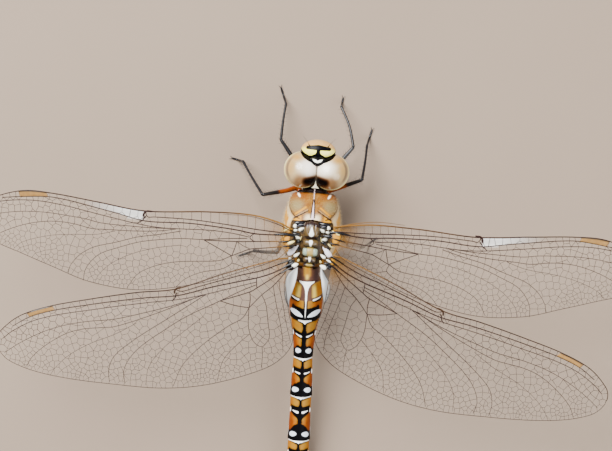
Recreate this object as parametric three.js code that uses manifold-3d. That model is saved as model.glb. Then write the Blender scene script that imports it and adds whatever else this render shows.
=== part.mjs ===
// A migrant hawker dragonfly at rest, life size: wings spread flat, six feet and the tail on the floor.
// Millimetres, +Z up. The head faces -Y and the animal's left side is +X.
// Shapes are set out from a point between the wing roots, and the finished model is then moved so that
// the origin lies on the floor under the middle of its box.

import * as THREE from 'three';
import { mergeVertices } from 'three/addons/utils/BufferGeometryUtils.js';
import Module from 'manifold-3d';

const wasm = await Module();
wasm.setup();

const degrees = THREE.MathUtils.degToRad;
const lerp = THREE.MathUtils.lerp;

// ---- driving dimensions ----

const gap = 0.06; // clearance between neighbouring pieces
const fine = { // faces round and along an ellipsoid
  large: [18, 12], round: [16, 10], plate: [14, 8], medium: [12, 8], small: [10, 6],
};
const facetTolerance = 0.02; // facets that are flatter than this are joined
const sides = [['left', 1], ['right', -1]];

const head = {
  centre: [-0.74, -8.95, 8.0],
  yaw: degrees(-5),
  eye: { centre: [1.78, 0, 0], radii: [2.48, 2.38, 2.85], lean: degrees(-10) },
  head: { centre: [0, 0.85, -0.35], radii: [3.7, 1.7, 2.5] },
  frons: { centre: [0, -2.6, 0.55], radii: [2.22, 1.4, 1.6] },
  vertex: { centre: [0, -1.15, 1.75], radii: [1.15, 0.7, 0.85] },
  clypeus: { centre: [0, -2.5, -1.15], radii: [1.95, 1.1, 0.8] },
  labrum: { centre: [0, -2.3, -2.35], radii: [1.55, 0.85, 0.7] },
  labium: { centre: [0, -0.75, -2.85], radii: [1.75, 1.35, 0.6] },
  mandible: { centre: [1.75, -1.75, -2.25], radii: [0.65, 0.85, 0.95] },
  antenna: { base: [0.85, -2.15, 2.0], tip: [2.0, -4.3, 2.95], arch: [0, 0, 0.2], radii: [0.32, 0.27, 0.25] },
};

const thorax = {
  yaw: degrees(-4.3),
  // leaning sections, front to rear: bottom y, bottom z, top y, top z, half width
  sections: [
    [-6.25, 5.9, -6.1, 8.4, 1.7],
    [-6.2, 4.7, -5.75, 9.1, 2.65],
    [-5.8, 4.0, -4.9, 9.9, 3.08],
    [-4.7, 3.4, -3.4, 10.9, 3.4],
    [-3.0, 3.1, -1.5, 11.5, 3.75],
    [-1.0, 3.2, 0.5, 11.3, 3.85],
    [0.9, 3.7, 1.9, 10.9, 3.5],
    [2.3, 4.6, 2.9, 10.3, 2.6],
    [3.25, 6.0, 3.5, 9.6, 1.75],
  ],
  squareness: 0.86, // under 1 fills the corners of each section
  mesonotum: { centre: [0, -0.75, 11.0], radii: [1.6, 1.75, 1.15] },
  metanotum: { centre: [0, 2.0, 10.5], radii: [1.5, 1.2, 0.95] },
  plateFoot: 9.9, // the back plates go no lower
  prothorax: { centre: [0, -6.5, 5.9], radii: [1.65, 1.0, 1.65] },
  neck: { front: [-0.6, -7.6, 7.5], rear: [-0.3, -5.9, 7.2], radius: 0.85 },
};

const abdomen = {
  start: [0.42, 3.56, 7.75],
  yaw: degrees(-3),
  pitch: [degrees(14), degrees(4.4)], // downward, at the first and the last segment
  carina: 0.055, // how far the section leans from an ellipse to a rounded triangle
  // segment by segment: length, then half widths at front, middle and rear, then half heights there
  segments: [
    [1.7, 1.5, 1.5, 1.65, 1.85, 1.9, 2.05],
    [5.1, 1.75, 2.12, 1.95, 2.1, 2.25, 2.0],
    [5.3, 1.8, 1.38, 1.2, 1.85, 1.4, 1.2],
    [5.2, 1.16, 1.28, 1.4, 1.15, 1.22, 1.3],
    [5.9, 1.3, 1.3, 1.42, 1.2, 1.2, 1.3],
    [5.7, 1.33, 1.38, 1.48, 1.22, 1.25, 1.32],
    [5.1, 1.42, 1.45, 1.52, 1.28, 1.3, 1.35],
    [4.0, 1.45, 1.48, 1.5, 1.3, 1.3, 1.32],
    [3.0, 1.43, 1.42, 1.35, 1.28, 1.25, 1.2],
    [1.8, 1.28, 1.18, 1.02, 1.14, 1.05, 0.95],
  ],
  genitalia: { depth: 0.7, place: 0.45 }, // swelling under the second segment
  cercus: {
    length: 4.6,
    path: [[0.42, 0, 0.3], [0.62, 0.35, 0.35], [1.25, 0.75, 0.3], [1.05, 1, 0.2]], // out, share of length, up
    width: [0.3, 0.42, 0.72, 0.62, 0.28],
    thickness: 0.28,
  },
  lowerAppendage: { length: 2.3, width: [0.62, 0.5, 0.28], thickness: 0.27 },
};

// Each row is one chord, root to tip: distance out and back of its leading end, then of its trailing end.
const forewingChords = [
  [0.0, -1.35, 0.2, 1.1],
  [2.0, -2.16, 1.7, 2.7],
  [5.5, -2.75, 5.5, 4.4],
  [11.0, -2.64, 11.0, 6.5],
  [18.8, -2.04, 18.6, 8.05],
  [25.0, -2.65, 25.0, 7.6],
  [30.5, -3.22, 30.2, 6.0],
  [34.4, -3.29, 34.4, 4.6],
  [37.7, -2.34, 37.3, 3.6],
  [39.5, -1.3, 39.3, 2.2],
  [40.2, -0.35, 40.2, 0.75],
];
const hindwingChords = [
  [0.0, -1.3, 1.2, 1.3],
  [1.2, -1.5, 1.65, 5.0],
  [2.8, -1.5, 2.1, 9.1],
  [5.4, -1.47, 4.6, 11.2],
  [9.0, -1.36, 8.6, 11.9],
  [15.0, -1.0, 14.6, 11.85],
  [20.0, -1.8, 20.2, 10.8],
  [26.0, -2.45, 26.5, 8.6],
  [31.2, -2.84, 31.5, 6.6],
  [35.2, -2.6, 35.4, 4.6],
  [38.0, -1.4, 38.0, 2.6],
  [39.0, -0.3, 39.0, 0.9],
];
const wing = {
  thickness: 0.5,
  steps: 16, // along the wing
  // folds across the chord: share of the chord, height at the root; they fade out towards the tip
  pleats: [[0, 0.28], [0.09, -0.2], [0.18, 0.3], [0.36, -0.16], [0.65, 0.08], [1, -0.12]],
  tipPleat: 0.25, // share of the fold height that is left at the tip
  tuckReach: 0.42, // share of the wing that a tuck of the leading edge takes in
  boss: { centre: [0.35, 0.1, -0.3], radii: [1.1, 1.25, 0.6] }, // hinge plates under the root
};
const forewing = { chords: forewingChords, lift: 3.5 };
const hindwing = { chords: hindwingChords, lift: 1 };
// sweep is backwards and lift upwards, in degrees; tuck draws the leading edge back near the root
const wings = [
  { ...forewing, name: 'forewing_left', side: 1, root: [2.56, 0, 11.95], sweep: -5.1, tuck: 0 },
  { ...forewing, name: 'forewing_right', side: -1, root: [-2.82, -0.3, 11.95], sweep: 5.9, tuck: 0.6 },
  { ...hindwing, name: 'hindwing_left', side: 1, root: [2.56, 3.59, 10.9], sweep: 14.2, tuck: 0 },
  { ...hindwing, name: 'hindwing_right', side: -1, root: [-2.95, 3.46, 10.9], sweep: 25.9, tuck: 0 },
];

const leg = {
  femur: [0.5, 0.5, 0.4, 0.36, 0.3],
  tibia: [0.31, 0.29, 0.27],
  tarsus: [0.26, 0.27, 0.28, 0.26],
  footHeight: 0.2, // height of the foot's middle line, less than its radius, so that it gets a small flat
};
// hip, trochanter, knee, ankle, and where the foot ends on the floor
const legs = {
  front_left: [[0.1, -6.3, 4.4], [0.05, -7.3, 3.7], [3.92, -13.1, 3.6], [3.27, -17.9, 1.3], [4.07, -20.5]],
  front_right: [[-1, -6.3, 4.4], [-1.1, -7.2, 3.7], [-5.57, -12.1, 3.8], [-4.02, -17.5, 1.5], [-4.35, -19.1]],
  middle_left: [[0.9, -5.3, 3.8], [1.7, -6.7, 3.2], [6.29, -5.87, 5.4], [8.91, -10.3, 1.7], [10.8, -10.9]],
  middle_right: [[-1.5, -5.2, 3.8], [-2.2, -6.3, 3.2], [-6.66, -7.8, 5.2], [-7.4, -12.4, 1.5], [-8.2, -14.9]],
  hind_left: [[1.1, -2.6, 3.2], [2.8, -1.5, 2.9], [4.4, 1.6, 7.1], [7.45, 1.47, 2.3], [9.87, 2.22]],
  hind_right: [[-1.2, -2.6, 3.2], [-3.0, -1.6, 2.9], [-4.95, 0.7, 7.4], [-6.9, 0.96, 2.3], [-8.88, -0.25]],
};

const colours = {
  eye: 0xd0bfa2, face: 0xe8cf86, head: 0xcdb98a, jaw: 0xb99a5c, thorax: 0xb8762e, notum: 0x8a7a4c,
  banded: 0x7a3f16, wing: 0xe4dccb, leg: 0x1c1a19, feeler: 0x2a2420,
};

// ---- geometry ----

// A smooth curve through [position, value] pairs, level beyond its ends.
function curveThrough(pairs) {
  const last = pairs.length - 1;
  const slopeAt = (i) => {
    const before = pairs[Math.max(i - 1, 0)];
    const after = pairs[Math.min(i + 1, last)];
    return (after[1] - before[1]) / (after[0] - before[0]);
  };
  return (x) => {
    if (x <= pairs[0][0]) return pairs[0][1];
    if (x >= pairs[last][0]) return pairs[last][1];
    const i = pairs.findIndex((pair) => pair[0] > x) - 1;
    const span = pairs[i + 1][0] - pairs[i][0];
    const t = (x - pairs[i][0]) / span;
    const rise = pairs[i + 1][1] - pairs[i][1];
    const bend = (1 - t) * (slopeAt(i) * span - rise) - t * (slopeAt(i + 1) * span - rise);
    return pairs[i][1] + rise * t + t * (1 - t) * bend;
  };
}

// Curves through evenly spaced values, one for each column of a table of rows.
function columnCurves(rows) {
  return rows[0].map((_, column) => curveThrough(rows.map((row, i) => [i / (rows.length - 1), row[column]])));
}

// A closed skin over rings of points. Every ring has the same even number of points, and its two ends
// are closed by rungs between point i and the point that lies opposite it.
function loft(rings) {
  const count = rings[0].length;
  const index = [];
  for (let ring = 0; ring < rings.length - 1; ring++) {
    for (let i = 0; i < count; i++) {
      const here = ring * count + i;
      const next = ring * count + ((i + 1) % count);
      index.push(here, next, here + count, next, next + count, here + count);
    }
  }
  for (let i = 0; i < count / 2 - 1; i++) {
    const rung = [i, i + 1, count - 2 - i, count - 1 - i];
    const end = (rings.length - 1) * count;
    index.push(rung[0], rung[2], rung[1], rung[0], rung[3], rung[2]);
    index.push(end + rung[0], end + rung[1], end + rung[2], end + rung[0], end + rung[2], end + rung[3]);
  }
  const geometry = new THREE.BufferGeometry();
  geometry.setAttribute('position', new THREE.Float32BufferAttribute(rings.flat(2), 3));
  geometry.setIndex(index);
  return solidOf(geometry);
}

// The solid inside a closed geometry, whichever way round its faces were listed.
function solidOf(geometry) {
  geometry.deleteAttribute('normal');
  geometry.deleteAttribute('uv');
  const merged = mergeVertices(geometry, 1e-5);
  const corners = merged.attributes.position.array;
  const triangles = Uint32Array.from(merged.index.array);
  let volume = 0;
  const corner = (i) => new THREE.Vector3().fromArray(corners, 3 * triangles[i]);
  for (let i = 0; i < triangles.length; i += 3) {
    volume += corner(i).dot(corner(i + 1).cross(corner(i + 2)));
  }
  if (volume < 0) triangles.reverse();
  return new wasm.Manifold(new wasm.Mesh({ numProp: 3, vertProperties: corners, triVerts: triangles }));
}

function geometryOf(solid) {
  const mesh = solid.simplify(facetTolerance).getMesh();
  const geometry = new THREE.BufferGeometry();
  geometry.setAttribute('position', new THREE.BufferAttribute(mesh.vertProperties, 3));
  geometry.setIndex(new THREE.BufferAttribute(mesh.triVerts, 1));
  geometry.computeVertexNormals();
  return geometry;
}

// An ellipsoid with its poles on the X axis, larger all round by grow. lean turns its top backwards.
function ellipsoid({ centre, radii, lean = 0 }, grow = 0, [round, along] = fine.medium) {
  const geometry = new THREE.SphereGeometry(1, round, along);
  geometry.rotateZ(Math.PI / 2);
  geometry.scale(...radii.map((radius) => radius + grow));
  geometry.rotateX(lean);
  geometry.translate(...centre);
  return solidOf(geometry);
}

// A limb along a curve through points. Its radius runs through the radii, and flatness squashes it.
function limb(points, radii, { steps = 6, round = 8, flatness = 1 } = {}) {
  const corners = points.map((point) => new THREE.Vector3(...point));
  const curve = new THREE.CatmullRomCurve3(corners, false, 'centripetal');
  const radiusAt = columnCurves(radii.map((radius) => [radius]))[0];
  const up = new THREE.Vector3(0, 0, 1);
  const rings = [];
  for (let step = 0; step <= steps; step++) {
    const place = curve.getPoint(step / steps);
    const along = curve.getTangent(step / steps);
    const across = new THREE.Vector3().crossVectors(along, up).normalize();
    const over = new THREE.Vector3().crossVectors(across, along);
    const radius = radiusAt(step / steps);
    rings.push(Array.from({ length: round }, (_, i) => {
      const turn = ((i + 0.5) / round) * 2 * Math.PI;
      return place.clone()
        .addScaledVector(across, radius * Math.cos(turn))
        .addScaledVector(over, radius * flatness * Math.sin(turn))
        .toArray();
    }));
  }
  return loft(rings);
}

// The solid of one group as it lies in another group's frame.
function seenFrom(group, solid, from) {
  group.updateWorldMatrix(true, false);
  from.updateWorldMatrix(true, false);
  const matrix = group.matrixWorld.clone().invert().multiply(from.matrixWorld);
  return solid.transform(matrix.elements);
}

function without(solid, ...others) {
  return others.reduce((rest, other) => rest.subtract(other), solid);
}

const widened = (radii, grow) => radii.map((radius) => radius + grow);
const mirrored = ([x, y, z], side) => [x * side, y, z];

// ---- the model's groups ----

function groupAt([x, y, z] = [0, 0, 0], yaw = 0) {
  const group = new THREE.Group();
  group.position.set(x, y, z);
  group.rotation.z = yaw;
  return group;
}

const dragonfly = groupAt();
const headGroup = groupAt(head.centre, head.yaw);
const thoraxGroup = groupAt([0, 0, 0], thorax.yaw);
const abdomenGroup = groupAt(abdomen.start, abdomen.yaw);
dragonfly.add(headGroup, thoraxGroup, abdomenGroup);

function addPiece(group, name, solid, colour, roughness = 0.5) {
  const material = new THREE.MeshStandardMaterial({ color: colour, roughness, metalness: 0 });
  const mesh = new THREE.Mesh(geometryOf(solid), material);
  mesh.name = name;
  group.add(mesh);
}

// The biggest of the separate bodies that a cut leaves.
function largest(solid) {
  return solid.decompose().sort((a, b) => b.volume() - a.volume())[0];
}

// ---- head ----

// Each piece gives way to those before it in the list.
const headPieces = [
  { name: 'frons', facets: fine.round, colour: colours.face, roughness: 0.35 },
  { name: 'vertex', facets: fine.medium, colour: colours.face, roughness: 0.35 },
  { name: 'eye', facets: fine.large, colour: colours.eye, roughness: 0.25, paired: true },
  { name: 'clypeus', facets: fine.medium, colour: colours.face },
  { name: 'labrum', facets: fine.small, colour: colours.face },
  { name: 'labium', facets: fine.small, colour: colours.jaw },
  { name: 'mandible', facets: fine.small, colour: colours.jaw, paired: true },
  { name: 'head', facets: fine.round, colour: colours.head },
];

function sidesOf(piece) {
  return piece.paired ? sides.map(([side, sign]) => [`${piece.name}_${side}`, sign]) : [[piece.name, 1]];
}

function headShape({ name, facets }, sign, grow) {
  return ellipsoid({ ...head[name], centre: mirrored(head[name].centre, sign) }, grow, facets);
}

function buildHead() {
  const rooms = [];
  for (const piece of headPieces) {
    for (const [name, sign] of sidesOf(piece)) {
      const rest = without(headShape(piece, sign, 0), ...rooms);
      // the two eyes meet on the seam along the middle of the head
      const solid = piece.name === 'eye' ? rest.trimByPlane([sign, 0, 0], gap / 2) : rest;
      addPiece(headGroup, name, largest(solid), piece.colour, piece.roughness);
    }
    rooms.push(...sidesOf(piece).map(([, sign]) => headShape(piece, sign, gap)));
  }
  for (const [side, sign] of sides) {
    const { base, tip, arch, radii } = head.antenna;
    const bend = base.map((value, i) => (value + tip[i]) / 2 + arch[i]);
    const path = [base, bend, tip].map((point) => mirrored(point, sign));
    const feeler = without(limb(path, radii, { steps: 4, round: 6 }), ...rooms);
    addPiece(headGroup, `antenna_${side}`, largest(feeler), colours.feeler);
  }
}

// ---- thorax ----

function thoraxShell(grow = 0) {
  const curves = columnCurves(thorax.sections);
  const steps = 12;
  const round = 18;
  const power = (value) => Math.sign(value) * Math.abs(value) ** thorax.squareness;
  const rings = [];
  for (let step = 0; step <= steps; step++) {
    const t = step / steps;
    const [bottomY, bottomZ, topY, topZ, halfWidth] = curves.map((curve) => curve(t));
    // growing the shell also pushes its two end sections outwards
    const push = step === 0 ? -grow : step === steps ? grow : 0;
    rings.push(Array.from({ length: round }, (_, i) => {
      const turn = ((i + 0.5) / round) * 2 * Math.PI;
      const rise = (1 + power(Math.cos(turn)) * (1 + (2 * grow) / (topZ - bottomZ))) / 2;
      return [
        (halfWidth + grow) * power(Math.sin(turn)),
        lerp(bottomY, topY, rise) + push,
        lerp(bottomZ, topZ, rise),
      ];
    }));
  }
  return loft(rings);
}

function buildThorax() {
  const shellRoom = thoraxShell(gap);
  addPiece(thoraxGroup, 'thorax', thoraxShell(), colours.thorax);

  // the back plates between the wings stand out of the shell
  const rooms = [shellRoom];
  for (const name of ['mesonotum', 'metanotum']) {
    const plate = without(ellipsoid(thorax[name], 0, fine.plate), ...rooms);
    addPiece(thoraxGroup, name, largest(plate.trimByPlane([0, 0, 1], thorax.plateFoot)), colours.notum);
    rooms.push(ellipsoid(thorax[name], gap, fine.plate));
  }

  const behindHead = [shellRoom];
  for (const piece of headPieces.filter(({ name }) => name === 'head' || name === 'eye')) {
    const shapes = sidesOf(piece).map(([, sign]) => headShape(piece, sign, gap));
    behindHead.push(...shapes.map((solid) => seenFrom(thoraxGroup, solid, headGroup)));
  }
  const { front, rear, radius } = thorax.neck;
  const neck = (grow) => limb([front, rear], widened([radius, radius], grow), { steps: 2, round: 10 });
  addPiece(thoraxGroup, 'neck', largest(without(neck(0), ...behindHead)), colours.head);
  const prothorax = without(ellipsoid(thorax.prothorax), neck(gap), ...behindHead);
  addPiece(thoraxGroup, 'prothorax', largest(prothorax), colours.thorax);
}

// ---- abdomen ----

// Distance along the tail at which each segment starts, and the whole length.
const segmentStarts = abdomen.segments.reduce((starts, [length]) => [...starts, starts.at(-1) + length], [0]);
const abdomenLength = segmentStarts.at(-1);

// The middle line of the tail in its own frame: it drops less and less steeply towards the end.
function tailPoint(distance) {
  const steps = 24;
  const point = { y: 0, z: 0, pitch: abdomen.pitch[0] };
  for (let i = 0; i < steps; i++) {
    point.pitch = lerp(...abdomen.pitch, ((i + 0.5) / steps) * (distance / abdomenLength));
    point.y += (Math.cos(point.pitch) * distance) / steps;
    point.z -= (Math.sin(point.pitch) * distance) / steps;
  }
  return point;
}

function tailRing(distance, halfWidth, halfHeight, hang = 0) {
  const round = 14;
  const { y, z, pitch } = tailPoint(distance);
  return Array.from({ length: round }, (_, i) => {
    const turn = ((i + 0.5) / round) * 2 * Math.PI;
    const reach = 1 + abdomen.carina * Math.cos(3 * turn);
    const across = halfWidth * reach * Math.sin(turn);
    const over = halfHeight * reach * Math.cos(turn) - hang * Math.max(0, -Math.cos(turn)) ** 3;
    return [across, y + over * Math.sin(pitch), z + over * Math.cos(pitch)];
  });
}

function buildAbdomen() {
  const floor = -abdomen.start[2];
  const steps = 4;
  const onFloor = (solid) => solid.trimByPlane([0, 0, 1], floor);
  const shell = seenFrom(abdomenGroup, thoraxShell(gap), thoraxGroup);
  abdomen.segments.forEach(([length, ...halves], number) => {
    const widthAt = curveThrough([[0, halves[0]], [0.5, halves[1]], [1, halves[2]]]);
    const heightAt = curveThrough([[0, halves[3]], [0.5, halves[4]], [1, halves[5]]]);
    const rings = [];
    for (let step = 0; step <= steps; step++) {
      const t = step / steps;
      const distance = segmentStarts[number] + gap / 2 + t * (length - gap);
      const swelling = number === 1 ? abdomen.genitalia.depth * Math.sin(Math.PI * t) ** 2 : 0;
      rings.push(tailRing(distance, widthAt(t), heightAt(t), swelling));
    }
    const segment = without(loft(rings), shell);
    addPiece(abdomenGroup, `abdomen_segment_${number + 1}`, onFloor(segment), colours.banded);
  });

  const end = tailPoint(abdomenLength);
  const rear = (x, back, rise) => [x, end.y + gap + back, end.z + rise - back * Math.sin(end.pitch)];
  const { cercus, lowerAppendage } = abdomen;
  for (const [side, sign] of sides) {
    const points = cercus.path.map(([x, share, rise]) => rear(x * sign, share * cercus.length, rise));
    const flatness = cercus.thickness / Math.max(...cercus.width);
    const leaf = limb(points, cercus.width, { steps: 6, round: 8, flatness });
    addPiece(abdomenGroup, `cercus_${side}`, onFloor(leaf), colours.leg);
  }
  const lower = [0, 0.5, 1].map((share) => rear(0, share * lowerAppendage.length, -0.42));
  const flatness = lowerAppendage.thickness / Math.max(...lowerAppendage.width);
  const flap = limb(lower, lowerAppendage.width, { steps: 3, round: 8, flatness });
  addPiece(abdomenGroup, 'lower_appendage', onFloor(flap), colours.leg);
}

// ---- wings ----

// Each ring runs out along the top of a chord and back along its underside.
function wingPlate(chords, side, tuck) {
  const curves = columnCurves(chords);
  const rings = [];
  for (let step = 0; step <= wing.steps; step++) {
    const t = step / wing.steps;
    const [leadOut, leadEdge, trailOut, trailBack] = curves.map((curve) => curve(t));
    const leadBack = leadEdge + tuck * Math.sin(Math.PI * Math.min(t / wing.tuckReach, 1));
    const fold = lerp(1, wing.tipPleat, t) * Math.min(1, (trailBack - leadBack) / 4);
    const chord = (half) => wing.pleats.map(([share, height]) => [
      side * lerp(leadOut, trailOut, share),
      lerp(leadBack, trailBack, share),
      height * fold + half,
    ]);
    rings.push([...chord(wing.thickness / 2), ...chord(-wing.thickness / 2).reverse()]);
  }
  return loft(rings);
}

function buildWings() {
  const plates = [thorax.mesonotum, thorax.metanotum].map((plate) => ellipsoid(plate, gap, fine.plate));
  const body = [thoraxShell(gap), ...plates];
  for (const { name, side, chords, root, sweep, lift, tuck } of wings) {
    const group = groupAt(root);
    group.rotation.set(0, degrees(-lift) * side, degrees(sweep) * side, 'ZYX');
    dragonfly.add(group);
    const boss = { ...wing.boss, centre: mirrored(wing.boss.centre, side) };
    const joined = wingPlate(chords, side, tuck).add(ellipsoid(boss, 0, fine.small));
    const clear = without(joined, ...body.map((solid) => seenFrom(group, solid, thoraxGroup)));
    addPiece(group, name, largest(clear), colours.wing, 0.2);
  }
}

// ---- legs ----

function buildLegs() {
  const shell = thoraxShell(gap);
  const prothorax = ellipsoid(thorax.prothorax, gap);
  for (const [name, [hip, bend, knee, ankle, toe]] of Object.entries(legs)) {
    const group = groupAt();
    dragonfly.add(group);
    const body = [shell, prothorax].map((solid) => seenFrom(group, solid, thoraxGroup));
    const between = (a, b, share) => a.map((value, i) => lerp(value, b[i], share));
    const sole = [...between(ankle, toe, 0.55).slice(0, 2), leg.footHeight];
    const foot = [...toe, leg.footHeight];
    const thigh = [hip, bend, between(bend, knee, 0.35), knee];
    const femur = (grow) => limb(thigh, widened(leg.femur, grow), { steps: 6 });
    const tibia = (grow) => limb([knee, ankle], widened(leg.tibia, grow), { steps: 2 });
    const tarsus = limb([ankle, sole, foot], leg.tarsus, { steps: 4 }).trimByPlane([0, 0, 1], 0);
    addPiece(group, `femur_${name}`, largest(without(femur(0), ...body)), colours.leg);
    addPiece(group, `tibia_${name}`, largest(without(tibia(0), femur(gap))), colours.leg);
    addPiece(group, `tarsus_${name}`, largest(without(tarsus, tibia(gap))), colours.leg);
  }
}

// ---- the whole animal ----

buildHead();
buildThorax();
buildAbdomen();
buildWings();
buildLegs();

const box = new THREE.Box3().setFromObject(dragonfly, true);
const middle = box.getCenter(new THREE.Vector3());
dragonfly.position.set(-middle.x, -middle.y, -box.min.z);

export default dragonfly;
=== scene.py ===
# A migrant hawker dragonfly at rest, dressed over its solids.
# Shapes are set out in millimetres in the animal's own frame, as the solids are: the origin lies
# between the wing roots, the head faces -Y and the animal's left is +X. inRow() brings them to metres.

import math

import bmesh
import bpy
import numpy as np
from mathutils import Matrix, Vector, kdtree


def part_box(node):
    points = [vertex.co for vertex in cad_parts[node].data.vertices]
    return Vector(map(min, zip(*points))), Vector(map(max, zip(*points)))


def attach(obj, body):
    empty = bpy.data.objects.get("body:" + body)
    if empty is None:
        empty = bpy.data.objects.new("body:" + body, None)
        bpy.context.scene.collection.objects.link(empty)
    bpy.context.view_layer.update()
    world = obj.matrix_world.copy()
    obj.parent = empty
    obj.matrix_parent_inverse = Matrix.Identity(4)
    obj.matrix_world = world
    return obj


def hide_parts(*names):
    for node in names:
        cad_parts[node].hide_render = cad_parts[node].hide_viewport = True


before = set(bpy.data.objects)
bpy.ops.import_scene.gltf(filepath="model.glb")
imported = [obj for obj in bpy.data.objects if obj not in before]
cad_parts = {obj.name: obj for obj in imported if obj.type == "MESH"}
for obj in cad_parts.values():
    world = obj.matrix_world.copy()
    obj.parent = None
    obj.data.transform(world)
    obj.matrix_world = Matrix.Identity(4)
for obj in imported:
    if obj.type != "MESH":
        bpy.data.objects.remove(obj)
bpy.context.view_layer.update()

millimetre = 0.001
sideSigns = {"left": 1, "right": -1}

# where the pieces stand, in the animal's frame
stance = {
    "headCentre": (-0.74, -8.95, 8.0), "headYaw": -5,
    "thoraxYaw": -4.3,
    "tailStart": (0.42, 3.56, 7.75), "tailYaw": -3,
}


# ---- numbers and places ----

def cosSin(degrees):
    return math.cos(math.radians(degrees)), math.sin(math.radians(degrees))


def turned(points, degrees, centre=(0, 0, 0)):  # about the vertical
    c, s = cosSin(degrees)
    x, y, z = np.moveaxis(np.asarray(points, float), -1, 0)
    return np.stack([c * x - s * y, s * x + c * y, z], -1) + np.asarray(centre, float)


def inHead(points):
    return turned(points, stance["headYaw"], stance["headCentre"])


def inThorax(points):
    return turned(points, stance["thoraxYaw"])


def inTail(points):
    return turned(points, stance["tailYaw"], stance["tailStart"])


def toThorax(points):
    return turned(points, -stance["thoraxYaw"])


# the forehead's solid is the same both ways about its middle, so its box gives the way to the row's frame
foreheadMiddle = np.mean(np.array([list(corner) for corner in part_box("frons")]), 0) / millimetre
rowShift = foreheadMiddle - inHead([0, -2.6, 0.55])


def inRow(points):
    return (np.asarray(points, float) + rowShift) * millimetre


def smooth(value, low, high):  # 0 below low, 1 above high
    t = np.clip((np.asarray(value, float) - low) / (high - low), 0, 1)
    return t * t * (3 - 2 * t)


def fading(value, low, high):  # 1 below low, 0 above high
    return 1 - smooth(value, low, high)


def hump(value, centre, width):  # 1 at the centre, dying away on both sides
    return np.exp(-((value - centre) / width) ** 2)


def unit(vectors):
    return vectors / np.linalg.norm(vectors, axis=-1, keepdims=True)


def curveThrough(places, values, x):  # a smooth curve through a few values, level beyond its ends
    places, values, x = (np.asarray(a, float) for a in (places, values, x))
    inner = (values[2:] - values[:-2]) / (places[2:] - places[:-2])
    ends = (values[1:] - values[:-1]) / (places[1:] - places[:-1])
    slopes = np.concatenate([ends[:1], inner, ends[-1:]])
    i = np.clip(np.searchsorted(places, x, side="right") - 1, 0, len(places) - 2)
    span = places[i + 1] - places[i]
    t = np.clip((x - places[i]) / span, 0, 1)
    rise = values[i + 1] - values[i]
    bend = (1 - t) * (slopes[i] * span - rise) - t * (slopes[i + 1] * span - rise)
    return values[i] + rise * t + t * (1 - t) * bend


def evenCurve(values, t):
    return curveThrough(np.linspace(0, 1, len(values)), values, t)


def splinePoints(points, spacing):  # a smooth line through points, closely stepped
    points = np.asarray(points, float)
    reach = np.concatenate([[0], np.cumsum(np.linalg.norm(np.diff(points, axis=0), axis=1) ** 0.5)])
    fineSteps = np.linspace(0, reach[-1], 40 * len(points))
    fine = np.stack([curveThrough(reach, column, fineSteps) for column in points.T], 1)
    run = np.concatenate([[0], np.cumsum(np.linalg.norm(np.diff(fine, axis=0), axis=1))])
    count = max(2, int(math.ceil(run[-1] / spacing)) + 1)
    even = np.linspace(0, run[-1], count)
    return np.stack([np.interp(even, run, column) for column in fine.T], 1)


# ---- meshes ----

def buildMesh(name, points, faces, edges=()):
    mesh = bpy.data.meshes.new(name)
    mesh.from_pydata(inRow(points).tolist(), list(edges), [list(map(int, f)) for f in faces])
    if len(faces):
        work = bmesh.new()
        work.from_mesh(mesh)
        bmesh.ops.recalc_face_normals(work, faces=work.faces)
        work.to_mesh(mesh)
        work.free()
    mesh.polygons.foreach_set("use_smooth", [True] * len(mesh.polygons))
    mesh.update()
    return mesh


def newPiece(name, mesh, material=None):
    piece = bpy.data.objects.new(name, mesh)
    bpy.context.scene.collection.objects.link(piece)
    if material:
        mesh.materials.clear()
        mesh.materials.append(material)
    return piece


def finishPiece(piece, slot, *replaced):
    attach(piece, "root")
    if replaced:
        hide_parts(*replaced)
    return piece


def setAttribute(mesh, name, values):
    if name in mesh.attributes:
        mesh.attributes.remove(mesh.attributes[name])
    mesh.attributes.new(name, "FLOAT", "POINT").data.foreach_set("value", np.asarray(values, np.float32))


def makePiece(name, points, faces, finish, slot, *replaced, marks=()):
    mesh = buildMesh(name, points, faces)
    for key, values in dict(marks).items():
        setAttribute(mesh, key, values)
    return finishPiece(newPiece(name, mesh, finish), slot, *replaced)


def readOut(items, key, width):  # a row of numbers for each vertex or face
    values = np.empty(len(items) * width)
    items.foreach_get(key, values)
    return values.reshape(-1, width)


def ringFaces(rows, columns, closed=True):
    i, j = np.meshgrid(np.arange(rows - 1), np.arange(columns if closed else columns - 1), indexing="ij")
    k = (j + 1) % columns
    return np.stack([i * columns + j, i * columns + k, (i + 1) * columns + k, (i + 1) * columns + j],
                    -1).reshape(-1, 4)


def sheetSkin(top, under):  # an upper and a lower grid of points, walled in round their rim
    rows, columns = top.shape[:2]
    plain = ringFaces(rows, columns, closed=False)
    count = rows * columns
    rim = ([i * columns for i in range(rows)] + [count - columns + j for j in range(1, columns)]
           + [i * columns + columns - 1 for i in range(rows - 2, -1, -1)] + list(range(columns - 2, 0, -1)))
    wall = [[a, b, b + count, a + count] for a, b in zip(rim, rim[1:] + rim[:1])]
    points = np.concatenate([top.reshape(-1, 3), under.reshape(-1, 3)])
    return points, plain.tolist() + (plain[:, ::-1] + count).tolist() + wall


def closedSkin(rings):  # rings of points, closed over a middle point at each end
    rings = np.asarray(rings, float)
    rows, columns = rings.shape[:2]
    points = np.concatenate([rings.reshape(-1, 3), [rings[0].mean(0)], [rings[-1].mean(0)]])
    faces = ringFaces(rows, columns).tolist()
    last = (rows - 1) * columns
    for j in range(columns):
        k = (j + 1) % columns
        faces.append([rows * columns, k, j])
        faces.append([rows * columns + 1, last + j, last + k])
    return points, faces


def capped(values):  # one value per ring point, with those of the two middle points added
    return np.concatenate([values, [values[0], values[-1]]])


def keptAbove(rings, low):
    rings[..., 2] = np.maximum(rings[..., 2], low)
    return rings


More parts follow.
